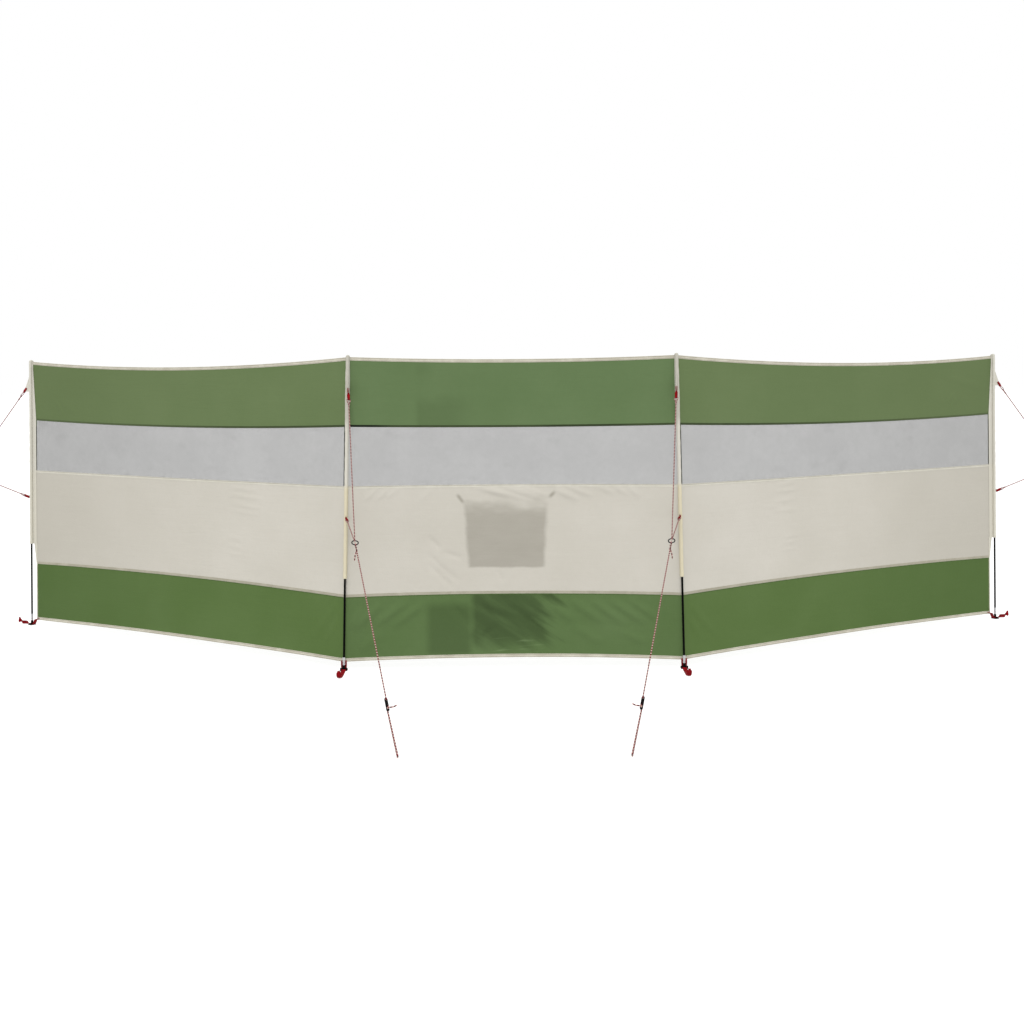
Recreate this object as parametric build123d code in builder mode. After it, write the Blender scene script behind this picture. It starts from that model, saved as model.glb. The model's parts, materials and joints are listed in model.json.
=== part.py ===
from build123d import *
import os
from math import asin, cos, radians, sin, tan

# Beach windbreak: three fabric bays on four slim poles, with a guy line to each pole.
# The origin is under the left inner pole's foot. +X runs along the middle bay to the
# right, +Z is up, and the outer face of the fabric looks towards -Y.
# Lengths are in millimetres and angles in degrees.

# Layout of the bays
pole_height = 1440          # ground to the top of a sleeve's cap
inner_spacing = 1556        # between the feet of the two inner poles
side_bay = 2130             # from an inner foot to the end foot
fold_angle = 30             # a side bay turns back by this from the middle bay
inner_lean = 29             # an inner pole's top leans in by this

# Poles, their metal tips and their moulded feet
pole_diameter = 9.5
pole_end_height = 42        # lower end of the rod, inside its tip
tip_top_height = 60
tip_diameter = 13
tip_taper_height = 50       # the tip starts to narrow here
tip_neck_diameter = 9
pin_diameter = 6
pin_end_height = 8
socket_clearance = 0.2
foot_width = 34
foot_depth = 30
foot_corner = 5
foot_plate = 3
bridge_depth = 8
bridge_height = 10
boss_diameter = 13
boss_height = 24
boss_round = 1.5
pin_clearance = 0.4
tip_seat = 0.15             # play between a tip's shoulder and its boss
pin_hole_floor = 7

# Fabric
fabric_thickness = 2
hem_thickness = 3
hem_width = 18
fabric_drop = 8             # top edge of the fabric, below the top of a sleeve's cap
# Heights of the seams at the poles, as shares of the pole's height
window_top_share = 0.7764
cream_top_share = 0.5833
lower_top_share = 0.2313
inner_bottom = 36           # bottom edge of the fabric at an inner pole
end_bottom = 27             # bottom edge of the fabric at an end pole
end_gap = 33                # fabric edge to the axis of an end pole
end_gap_top = 8             # the same at the top corner
# How far each seam hangs below a straight line, or rises above it, at the middle of its bay
side_top_sag = 38
side_window_sag = 20
side_cream_sag = 3
side_lower_rise = 14
side_bottom_rise = 10
middle_top_sag = 14
middle_window_sag = 6
middle_cream_rise = 4
middle_lower_rise = 12
middle_bottom_rise = 16

# Pole sleeves
sleeve_wall = 2
sleeve_clearance = 0.3
sleeve_seam = 8.5           # half the width of an inner sleeve where it is sewn on
sleeve_cap = 1.5
end_sleeve_radius = 8
inner_sleeve_bottom_share = 0.2917     # of the pole's height
end_sleeve_bottom_share = 0.3063
flange_toe_drop = 115       # the strip that joins an end sleeve to the fabric ends this much lower
flange_toe_width = 22
seam_depth = 4

# Guy lines
rope_diameter = 5
rope_clearance = 0.3
webbing = 1.5               # thickness of the red webbing
loop_width = 11
gusset_drop = 85            # from the top of the pole to the gusset of the upper loop
gusset_height = 86
gusset_reach = 33
gusset_nose = 12
lower_loop_share = 0.484    # height of the lower loop, of the pole's height
lower_tab_reach = 20
lower_tab_height = 14
upper_loop_length = 58
upper_loop_lap = 16
lower_loop_length = 34
lower_loop_lap = 10
eye_length = 24
eye_half_width = 11.5
eye_bend = 4
ring_radius = 14
ring_wire = 5
ring_clearance = 0.8
knot_diameter = 11
knot_length = 12
knot_round = 3
knot_pitch = 20
ring_knot_distance = 20     # from the ring's wire to the first knot
knot_tail = 42
runner_length = 64
runner_width = 12
runner_thickness = 5
runner_hole_pitch = 22
runner_hole_clearance = 0.6
runner_edge_round = 1.2
runner_distance_share = 0.78
runner_face_gap = 0.9       # between a strand and the runner's face
runner_hole_bend = 3.5
strand_bend = 60
runner_tail = 34
bight_radius = 5.5
bight_bend_share = 0.9
inner_ring_out = 288
inner_ring_share = 0.4354   # height of the ring, of the pole's height
inner_peg_aside = 368       # from the inner foot to where the line meets the ground
inner_peg_out = 1282
end_ring_out = 384
end_ring_share = 0.5681
end_peg_out = 1288
end_guy_angle = 10          # an end guy turns back by this from the row

# Foot straps
strap_width = 26
strap_tail_width = 22
strap_slot_clearance = 0.3
leg_gap = 11                # between the two legs that pass beside a tip
leg_top = 44
strap_fold = 1.6
strap_bend = 8
strap_ground = 1.05         # height of the middle of a strap that lies on the ground
inner_tail_reach = 158
end_tail_reach = 68
tail_curl = 14
tail_rise = 37
tail_lean = 6
end_strap_height = 34
tab_length = 24
tab_height = 16

# Storage pocket on the inner face of the middle bay
pocket_top_width = 375
pocket_bottom_width = 340
pocket_drop = 94            # from the top of the cream band to the pocket's mouth
pocket_height = 281
pocket_offset = -33         # its middle, from the middle of the bay
pocket_cloth = 2
pocket_seam = 15
pocket_gape = 24
pocket_foot = 3

os.makedirs("parts", exist_ok=True)

# Heights that go with the pole's
fabric_top = pole_height - fabric_drop
window_top = pole_height * window_top_share
cream_top = pole_height * cream_top_share
lower_top = pole_height * lower_top_share
inner_sleeve_bottom = pole_height * inner_sleeve_bottom_share
end_sleeve_bottom = pole_height * end_sleeve_bottom_share
flange_toe = end_sleeve_bottom - flange_toe_drop
gusset_top = pole_height - gusset_drop
gusset_bottom = gusset_top - gusset_height
lower_loop_height = pole_height * lower_loop_share
inner_ring_height = pole_height * inner_ring_share
end_ring_height = pole_height * end_ring_share
pocket_top = cream_top - pocket_drop

# Places and directions
turn = radians(fold_angle)
up = Vector(0, 0, 1)
inner_foot = Vector(0, 0, 0)
side_way = Vector(-cos(turn), sin(turn), 0)
end_foot = side_way * side_bay
inner_axis = Vector(inner_lean, -inner_lean * tan(turn), pole_height).normalized()
pole_radius = pole_diameter / 2
bore_radius = pole_radius + sleeve_clearance
setback = bore_radius + sleeve_wall     # pole axis to the outer face of the fabric
middle_x = inner_spacing / 2
mirror_plane = Plane.YZ.offset(middle_x)

inner_pole_plane = Plane(origin=inner_foot, x_dir=(1, 0, 0), z_dir=inner_axis)
end_pole_plane = Plane(origin=end_foot, x_dir=-side_way, z_dir=up)
inner_foot_plane = Plane(origin=inner_foot, x_dir=(1, 0, 0), z_dir=up)
end_foot_plane = Plane(origin=end_foot, x_dir=(-side_way).cross(up), z_dir=up)

# The side bay's sheet starts at the end pole, the middle bay's at the left inner pole
side_sheet = Plane(origin=end_foot, x_dir=-side_way, z_dir=(-side_way).cross(up))
middle_up = Vector(0, inner_axis.Y, inner_axis.Z).normalized()
middle_sheet = Plane(origin=inner_foot, x_dir=(1, 0, 0), z_dir=Vector(1, 0, 0).cross(middle_up))
mitre_way = Vector(sin(turn / 2), cos(turn / 2), 0)
left_mitre = Plane(origin=inner_foot, x_dir=inner_axis, z_dir=mitre_way.cross(inner_axis))
right_mitre = Plane(
    origin=Vector(inner_spacing, 0, 0),
    x_dir=Vector(-inner_axis.X, inner_axis.Y, inner_axis.Z),
    z_dir=Vector(-left_mitre.z_dir.X, left_mitre.z_dir.Y, left_mitre.z_dir.Z),
)


def write(piece, node):
    piece.part.label = node
    export_step(piece.part, f"parts/{node}.step")


def write_pair(piece, stem, place):
    write(piece, f"{stem}_left_{place}")
    with BuildPart() as twin:
        mirror(piece.part, about=mirror_plane)
    write(twin, f"{stem}_right_{place}")


# Poles: plain rods from inside the metal tip to the cap of the sleeve
def pole(plane):
    with BuildPart() as rod:
        with BuildSketch(plane.offset(pole_end_height)):
            Circle(pole_radius)
        extrude(amount=pole_height - sleeve_cap - pole_end_height)
    return rod


# Metal tips: a socket round the rod that narrows to a pin
def pole_tip(plane):
    with BuildPart() as tip:
        with BuildSketch(Plane(origin=plane.origin, x_dir=plane.x_dir, z_dir=-plane.y_dir)):
            with BuildLine():
                Polyline(
                    (0, pin_end_height),
                    (pin_diameter / 2, pin_end_height),
                    (pin_diameter / 2, boss_height + tip_seat),
                    (tip_neck_diameter / 2, boss_height + tip_seat),
                    (tip_diameter / 2, tip_taper_height),
                    (tip_diameter / 2, tip_top_height),
                    (pole_radius + socket_clearance, tip_top_height),
                    (pole_radius + socket_clearance, pole_end_height),
                    (0, pole_end_height),
                    close=True,
                )
            make_face()
        revolve(axis=Axis(plane.origin, plane.z_dir))
    return tip


# Moulded feet: a plate on the ground, a bridge with a strap slot and a boss for the pin
def pole_foot(plane, pole_plane):
    slot_height = webbing + 2 * strap_slot_clearance
    with BuildPart() as foot:
        with BuildSketch(plane):
            RectangleRounded(foot_width, foot_depth, foot_corner)
        extrude(amount=foot_plate)
        with BuildSketch(plane.offset(foot_plate)):
            Rectangle(foot_width, bridge_depth)
        extrude(amount=bridge_height - foot_plate)
        with BuildSketch(plane.offset(bridge_height)):
            Circle(boss_diameter / 2)
        extrude(amount=boss_height - bridge_height)
        fillet(foot.faces().sort_by(Axis.Z)[-1].edges(), radius=boss_round)
        with BuildSketch(plane.offset(foot_plate)):
            Rectangle(strap_width + 2 * strap_slot_clearance, foot_depth)
        extrude(amount=slot_height, mode=Mode.SUBTRACT)
        with BuildSketch(pole_plane.offset(pin_hole_floor)):
            Circle(pin_diameter / 2 + pin_clearance)
        extrude(amount=boss_height, mode=Mode.SUBTRACT)
    return foot


for place, pole_plane, foot_plane in (
    ("inner", inner_pole_plane, inner_foot_plane),
    ("end", end_pole_plane, end_foot_plane),
):
    write_pair(pole(pole_plane), "pole", place)
    write_pair(pole_tip(pole_plane), "pole_tip", place)
    write_pair(pole_foot(foot_plane, pole_plane), "pole_foot", place)


# Fabric: bands between seams that sag, cut to a mitre where two bays meet
def side_edges(height):
    climb = max(0, height - window_top) / (fabric_top - window_top)
    outer = end_gap + (end_gap_top - end_gap) * climb
    inner = side_bay + inner_lean / cos(turn) * height / pole_height
    return outer, inner


def middle_edges(height):
    lean = inner_lean * height / pole_height
    return lean, inner_spacing - lean


def seam(edges, left_height, right_height, sag):
    left = edges(left_height)[0], left_height
    right = edges(right_height)[1], right_height
    half = (left[0] + right[0]) / 2, (left[1] + right[1]) / 2 - 2 * sag
    return left, half, right


def band(sheet, upper, lower, thickness, mitres):
    with BuildPart() as cloth:
        with BuildSketch(sheet.offset(-setback)):
            with BuildLine():
                Bezier(*upper)
                Line(upper[2], lower[2])
                Bezier(*lower)
                Line(lower[0], upper[0])
            make_face()
        extrude(amount=-thickness)
        for mitre, side in mitres:
            split(bisect_by=mitre, keep=side)
    return cloth


def seams(edges, left_bottom, right_bottom, sags):
    heights = {
        "top": (fabric_top, fabric_top, sags["top"]),
        "top_hem": (fabric_top - hem_width, fabric_top - hem_width, sags["top"]),
        "window": (window_top, window_top, sags["window"]),
        "cream": (cream_top, cream_top, sags["cream"]),
        "lower": (lower_top, lower_top, sags["lower"]),
        "bottom_hem": (left_bottom + hem_width, right_bottom + hem_width, sags["bottom"]),
        "bottom": (left_bottom, right_bottom, sags["bottom"]),
    }
    return {name: seam(edges, *values) for name, values in heights.items()}


band_seams = {
    "top_band": ("top_hem", "window"),
    "window": ("window", "cream"),
    "cream_band": ("cream", "lower"),
    "lower_band": ("lower", "bottom_hem"),
}


def hem_tapes(sheet, lines, mitres):
    with BuildPart() as tapes:
        for upper, lower in (("top", "top_hem"), ("bottom_hem", "bottom")):
            add(band(sheet, lines[upper], lines[lower], hem_thickness, mitres).part)
    return tapes


side_sags = {
    "top": side_top_sag,
    "window": side_window_sag,
    "cream": side_cream_sag,
    "lower": -side_lower_rise,
    "bottom": -side_bottom_rise,
}
middle_sags = {
    "top": middle_top_sag,
    "window": middle_window_sag,
    "cream": -middle_cream_rise,
    "lower": -middle_lower_rise,
    "bottom": -middle_bottom_rise,
}
side_lines = seams(side_edges, end_bottom, inner_bottom, side_sags)
middle_lines = seams(middle_edges, inner_bottom, inner_bottom, middle_sags)
side_mitres = [(left_mitre, Keep.BOTTOM)]
middle_mitres = [(left_mitre, Keep.TOP), (right_mitre, Keep.TOP)]


def write_bays(stem, side_piece, middle_piece):
    write(side_piece, f"{stem}_left")
    with BuildPart() as twin:
        mirror(side_piece.part, about=mirror_plane)
    write(twin, f"{stem}_right")
    write(middle_piece, f"{stem}_middle")


for stem, (upper, lower) in band_seams.items():
    write_bays(
        stem,
        band(side_sheet, side_lines[upper], side_lines[lower], fabric_thickness, side_mitres),
        band(middle_sheet, middle_lines[upper], middle_lines[lower], fabric_thickness, middle_mitres),
    )
write_bays(
    "hem_tapes",
    hem_tapes(side_sheet, side_lines, side_mitres),
    hem_tapes(middle_sheet, middle_lines, middle_mitres),
)


# Guy lines: each lies in the plane of its pole's axis and its peg
class GuyFrame:
    def __init__(self, foot, axis, peg, ring_out, ring_height):
        self.up = axis
        self.out = (peg - axis * peg.dot(axis)).normalized()
        self.across = self.out.cross(axis)
        self.plane = Plane(origin=foot, x_dir=self.out, z_dir=self.across)
        self.ring = Vector(ring_out, ring_height)
        self.peg = Vector(peg.dot(self.out), peg.dot(axis))
        self.line = (self.peg - self.ring).normalized()
        self.upper_tip = Vector(gusset_reach, gusset_bottom + gusset_nose / 2)
        self.lower_tip = Vector(lower_tab_reach, lower_loop_height)
        top_of_ring = self.ring - self.line * ring_radius
        self.upper_way = (top_of_ring - self.upper_tip).normalized()
        self.lower_way = (top_of_ring - self.lower_tip).normalized()

    def spot(self, point):
        return self.plane.from_local_coords(Vector(point.X, point.Y, 0))

    def way(self, direction):
        return self.out * direction.X + self.up * direction.Y

    def along(self, point, direction):
        # Sketch plane with x along the direction and y to its left, in the guy's own plane
        return Plane(origin=self.spot(point), x_dir=self.way(direction), z_dir=self.across)

    def edgewise(self, point, direction):
        # Sketch plane with x along the direction and y across the guy's own plane
        x_way = self.way(direction)
        return Plane(origin=self.spot(point), x_dir=x_way, z_dir=x_way.cross(self.across))


loop_gap = rope_diameter + 2 * rope_clearance
rope_radius = rope_diameter / 2
inner_peg = Vector(inner_peg_aside, -inner_peg_out, 0)
end_peg_way = Vector(-cos(radians(end_guy_angle)), sin(radians(end_guy_angle)), 0)
inner_guy = GuyFrame(inner_foot, inner_axis, inner_peg, inner_ring_out, inner_ring_height)
end_guy = GuyFrame(end_foot, up, end_peg_way * end_peg_out, end_ring_out, end_ring_height)


# Sleeves: fabric tunnels with a closed cap, a gusset for the upper loop and a lower tab
def gussets(guy, root):
    with BuildPart() as flaps:
        with BuildSketch(guy.plane):
            with BuildLine():
                Polyline(
                    (root, gusset_top),
                    (root, gusset_bottom),
                    (gusset_reach, gusset_bottom),
                    (gusset_reach, gusset_bottom + gusset_nose),
                    close=True,
                )
            make_face()
            with Locations(((root + lower_tab_reach) / 2, lower_loop_height)):
                Rectangle(lower_tab_reach - root, lower_tab_height)
        extrude(amount=loop_gap / 2, both=True)
    return flaps.part


root = bore_radius + sleeve_wall / 2
side_along = Vector(-cos(turn), sin(turn))
side_behind = Vector(sin(turn), cos(turn))
side_seam = side_along * sleeve_seam + side_behind * setback
mitre_corner = Vector(setback * tan(turn / 2), setback)
inner_length = pole_height - inner_sleeve_bottom
end_length = pole_height - end_sleeve_bottom

with BuildPart() as inner_sleeve:
    with BuildSketch(inner_pole_plane.offset(inner_sleeve_bottom)):
        with BuildLine():
            ThreePointArc((sleeve_seam, setback), (0, -setback), (side_seam.X, side_seam.Y))
            Line((side_seam.X, side_seam.Y), (mitre_corner.X, mitre_corner.Y))
            Line((mitre_corner.X, mitre_corner.Y), (sleeve_seam, setback))
        make_face()
    extrude(amount=inner_length)
    add(gussets(inner_guy, root))
    with BuildSketch(inner_pole_plane.offset(inner_sleeve_bottom)):
        Circle(bore_radius)
    extrude(amount=inner_length - sleeve_cap, mode=Mode.SUBTRACT)
write_pair(inner_sleeve, "sleeve", "inner")

with BuildPart() as end_sleeve:
    with BuildSketch(end_pole_plane.offset(end_sleeve_bottom)):
        Circle(end_sleeve_radius)
        with Locations((end_sleeve_radius / 2, setback - seam_depth / 2)):
            Rectangle(end_sleeve_radius, seam_depth)
        with Locations((0, setback + end_sleeve_radius / 2)):
            Rectangle(2 * end_sleeve_radius, end_sleeve_radius, mode=Mode.SUBTRACT)
    extrude(amount=end_length)
    with BuildSketch(side_sheet.offset(-setback)):
        with BuildLine():
            Polyline(
                (0, fabric_top),
                side_lines["top"][0],
                side_lines["window"][0],
                (end_gap, flange_toe),
                (flange_toe_width, end_sleeve_bottom),
                (0, end_sleeve_bottom),
                close=True,
            )
        make_face()
    extrude(amount=-fabric_thickness)
    add(gussets(end_guy, root))
    with BuildSketch(end_pole_plane.offset(end_sleeve_bottom)):
        Circle(bore_radius)
    extrude(amount=end_length - sleeve_cap, mode=Mode.SUBTRACT)
write_pair(end_sleeve, "sleeve", "end")


# Webbing loops: folded over the gusset and the tab, with a bight for the rope
def webbing_loop(guy, tip, way, length, lap):
    straight = length - loop_gap / 2 - webbing
    with BuildPart() as loop:
        with BuildSketch(guy.edgewise(tip, way)):
            for gap, mode in ((loop_gap + 2 * webbing, Mode.ADD), (loop_gap, Mode.SUBTRACT)):
                with Locations((straight / 2 - lap, 0)):
                    Rectangle(straight, gap, mode=mode)
                with Locations((straight - lap, 0)):
                    Circle(gap / 2, mode=mode)
        extrude(amount=loop_width / 2, both=True)
    return loop.part


# Rope eyes: a bend through the webbing that closes in a knot
def rope_eye(guy, tip, way, length, lap):
    bight = tip + way * (length - loop_gap / 2 - webbing - lap)
    plane = guy.along(bight, way)
    with BuildPart() as half_eye:
        with BuildLine(plane) as path:
            FilletPolyline(
                (eye_length, 0),
                (0, eye_half_width),
                (0, 0),
                radius=eye_bend,
            )
        with BuildSketch(Plane(origin=path.line @ 0, z_dir=path.line % 0)):
            Circle(rope_radius)
        sweep()
    add(half_eye.part)
    mirror(half_eye.part, about=Plane(origin=plane.origin, x_dir=plane.x_dir, z_dir=plane.y_dir))
    knot(guy, bight + way * eye_length, way)
    return bight + way * eye_length


def knot(guy, middle, way):
    with BuildPart() as barrel:
        with BuildSketch(Plane(origin=guy.spot(middle), z_dir=guy.way(way))):
            Circle(knot_diameter / 2)
        extrude(amount=knot_length / 2, both=True)
        fillet(barrel.edges().filter_by(GeomType.CIRCLE), radius=knot_round)
    add(barrel.part)


def rope_run(guy, points, radii):
    with BuildPart() as run:
        with BuildLine(guy.plane) as path:
            if radii:
                FilletPolyline(*[(p.X, p.Y) for p in points], radius=radii)
            else:
                Line(*[(p.X, p.Y) for p in points])
        with BuildSketch(Plane(origin=path.line @ 0, z_dir=path.line % 0)):
            Circle(rope_radius)
        sweep()
    add(run.part)


def rope_stub(guy, start, direction, length):
    with BuildPart() as stub:
        with BuildSketch(Plane(origin=guy.spot(start), z_dir=direction)):
            Circle(rope_radius)
        extrude(amount=length)
    add(stub.part)


for place, guy in (("inner", inner_guy), ("end", end_guy)):
    left = Vector(-guy.line.Y, guy.line.X)
    upper_wire = guy.ring - guy.line * ring_radius
    lower_wire = guy.ring + guy.line * ring_radius
    # The runner lies along the line, under the strand that comes from the ring
    reach = (guy.peg - guy.ring).length * runner_distance_share
    face_step = left * (runner_thickness / 2 + rope_radius + runner_face_gap)
    hole_step = guy.line * runner_hole_pitch
    runner_middle = guy.ring + guy.line * reach - face_step

    with BuildPart() as loops:
        add(webbing_loop(guy, guy.upper_tip, guy.upper_way, upper_loop_length, upper_loop_lap))
        add(webbing_loop(guy, guy.lower_tip, guy.lower_way, lower_loop_length, lower_loop_lap))
    write_pair(loops, "guy_loops", place)

    with BuildPart() as ring:
        with BuildSketch(guy.along(guy.ring, guy.line)):
            with Locations((ring_radius, 0)):
                Circle(ring_wire / 2)
        revolve(axis=Axis(guy.spot(guy.ring), guy.way(left)))
    write_pair(ring, "guy_ring", place)

    # The bridle bends round the top of the ring, on the way from the upper to the lower loop
    wire_bend = ring_wire / 2 + rope_radius + ring_clearance
    to_upper = -guy.upper_way
    to_lower = -guy.lower_way
    halfway = (to_upper + to_lower).normalized()
    half_angle = radians(to_upper.get_angle(to_lower) / 2)
    bridle_corner = upper_wire - halfway * (wire_bend / sin(half_angle))
    with BuildPart() as guy_rope:
        upper_knot = rope_eye(guy, guy.upper_tip, guy.upper_way, upper_loop_length, upper_loop_lap)
        lower_knot = rope_eye(guy, guy.lower_tip, guy.lower_way, lower_loop_length, lower_loop_lap)
        rope_run(guy, [upper_knot, bridle_corner, lower_knot], [wire_bend])

        # The line starts in a bight round the bottom of the ring, closed by two knots
        first_knot = lower_wire + guy.line * ring_knot_distance
        second_knot = first_knot + guy.line * knot_pitch
        opening = asin(wire_bend / ring_knot_distance)
        with BuildPart() as half_bight:
            with BuildLine(guy.along(lower_wire, guy.line)) as path:
                touch = (wire_bend * sin(opening), wire_bend * cos(opening))
                Line((ring_knot_distance, 0), touch)
                TangentArc(touch, (-wire_bend, 0), tangent=path.line % 1)
            with BuildSketch(Plane(origin=path.line @ 0, z_dir=path.line % 0)):
                Circle(rope_radius)
            sweep()
        add(half_bight.part)
        mirror(
            half_bight.part,
            about=Plane(origin=guy.spot(lower_wire), x_dir=guy.way(guy.line), z_dir=guy.way(left)),
        )
        knot(guy, first_knot, guy.line)
        knot(guy, second_knot, guy.line)
        rope_stub(guy, second_knot, -up, knot_tail)

        # It dives through the runner's top hole, runs round the peg and comes back under the
        # runner, up through the bottom hole to a knot
        bight_middle = guy.peg - guy.line * ((bight_radius + rope_radius) / abs(guy.line.Y))
        bight_end = bight_middle + guy.line * bight_radius
        bight_bend = bight_radius * bight_bend_share
        side_step = left * bight_radius
        top_hole = runner_middle - hole_step
        bottom_hole = runner_middle + hole_step
        strand_step = left * (rope_diameter + rope_clearance)
        end_knot = bottom_hole + left * ((runner_thickness + knot_length) / 2 + rope_clearance)
        rope_run(
            guy,
            [
                first_knot,
                top_hole + face_step,
                top_hole - face_step,
                bottom_hole - face_step - strand_step,
                bight_end - side_step,
                bight_end + side_step,
                bottom_hole - face_step,
                end_knot,
            ],
            [runner_hole_bend, runner_hole_bend, strand_bend, bight_bend, bight_bend, runner_hole_bend],
        )
        knot(guy, end_knot, left)
        rope_stub(guy, end_knot, -guy.across, runner_tail)
    write_pair(guy_rope, "guy_line", place)

    with BuildPart() as runner:
        with BuildSketch(Plane(origin=guy.spot(runner_middle), x_dir=guy.way(guy.line), z_dir=guy.way(left))):
            SlotOverall(runner_length, runner_width)
            with GridLocations(runner_hole_pitch, 0, 3, 1):
                Circle(rope_radius + runner_hole_clearance, mode=Mode.SUBTRACT)
        extrude(amount=runner_thickness / 2, both=True)
        broad_faces = runner.faces().filter_by(GeomType.PLANE).sort_by(SortBy.AREA)[-2:]
        fillet([edge for face in broad_faces for edge in face.outer_wire().edges()], radius=runner_edge_round)
    write_pair(runner, "guy_runner", place)


# Foot straps: webbing from the hem through the foot's slot, with a tail turned up at its end
slot_middle = foot_plate + strap_slot_clearance + webbing / 2


def strap_path(start, reach):
    before_tail = -foot_depth / 2 - strap_fold
    return [
        *start,
        (before_tail, slot_middle),
        (before_tail - strap_bend, strap_ground),
        (-reach, strap_ground),
        (-reach - tail_lean, strap_ground + tail_rise),
    ]


def strap(plane, start, radii, reach, width):
    profile = Plane(origin=plane.origin, x_dir=plane.y_dir, z_dir=plane.x_dir)
    with BuildPart() as ribbon:
        with BuildSketch(profile):
            with BuildLine() as path:
                FilletPolyline(*strap_path(start, reach), radius=radii)
            trace(path.line, line_width=webbing)
        extrude(amount=width / 2, both=True)
    return ribbon.part


leg_forward = inner_lean * tan(turn) * leg_top / pole_height
leg_face = setback - webbing / 2 - leg_forward
with BuildPart() as inner_strap:
    add(
        strap(
            inner_foot_plane,
            [(leg_face, leg_top), (leg_face, slot_middle)],
            [strap_fold, strap_bend, strap_bend, tail_curl],
            inner_tail_reach,
            strap_width,
        )
    )
    with BuildSketch(inner_foot_plane.offset(slot_middle + strap_fold + webbing)):
        with Locations((0, setback)):
            Rectangle(leg_gap, setback)
    extrude(amount=leg_top, mode=Mode.SUBTRACT)
    with BuildSketch(inner_foot_plane):
        with Locations((0, -foot_depth / 2 - inner_tail_reach)):
            Rectangle(strap_width, 2 * inner_tail_reach)
            Rectangle(strap_tail_width, 2 * inner_tail_reach, mode=Mode.SUBTRACT)
    extrude(amount=leg_top, mode=Mode.SUBTRACT)
write_pair(inner_strap, "foot_strap", "inner")

with BuildPart() as end_strap:
    add(
        strap(
            end_foot_plane,
            [(end_gap - webbing, end_strap_height), (foot_depth / 2, slot_middle)],
            [strap_bend, strap_bend, strap_bend, tail_curl],
            end_tail_reach,
            strap_tail_width,
        )
    )
    with BuildSketch(side_sheet.offset(-setback)):
        with Locations((end_gap - webbing + tab_length / 2, end_strap_height)):
            Rectangle(tab_length, tab_height)
    extrude(amount=webbing)
write_pair(end_strap, "foot_strap", "end")


# Storage pocket: a sheet sewn on at its sides and bottom that gapes at the mouth
def pocket_wedge(inset, floor, top, foot_gape, mouth_gape):
    lean = (pocket_top_width - pocket_bottom_width) / 2
    bottom = pocket_top - pocket_height
    middle = middle_x + pocket_offset
    low_half = pocket_bottom_width / 2 - inset
    high_half = low_half + lean
    slope_foot = middle_sheet.from_local_coords(Vector(0, bottom, -setback - fabric_thickness - foot_gape))
    slope_mouth = middle_sheet.from_local_coords(
        Vector(0, pocket_top, -setback - fabric_thickness - mouth_gape)
    )
    with BuildPart() as wedge:
        with BuildSketch(middle_sheet.offset(-setback - fabric_thickness)):
            with BuildLine():
                Polyline(
                    (middle - low_half, bottom + floor),
                    (middle + low_half, bottom + floor),
                    (middle + high_half, top),
                    (middle - high_half, top),
                    close=True,
                )
            make_face()
        extrude(amount=-2 * mouth_gape)
        slope = Plane(
            origin=slope_foot,
            x_dir=(1, 0, 0),
            z_dir=Vector(1, 0, 0).cross(slope_mouth - slope_foot),
        )
        split(bisect_by=slope, keep=Keep.TOP)
    return wedge


outer_wedge = pocket_wedge(0, 0, pocket_top, pocket_foot, pocket_gape)
inner_wedge = pocket_wedge(
    pocket_cloth,
    pocket_seam,
    pocket_top + pocket_seam,
    pocket_foot - pocket_cloth,
    pocket_gape - pocket_cloth,
)
with BuildPart() as pocket:
    add(outer_wedge.part)
    add(inner_wedge.part, mode=Mode.SUBTRACT)
write(pocket, "storage_pocket")
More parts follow.
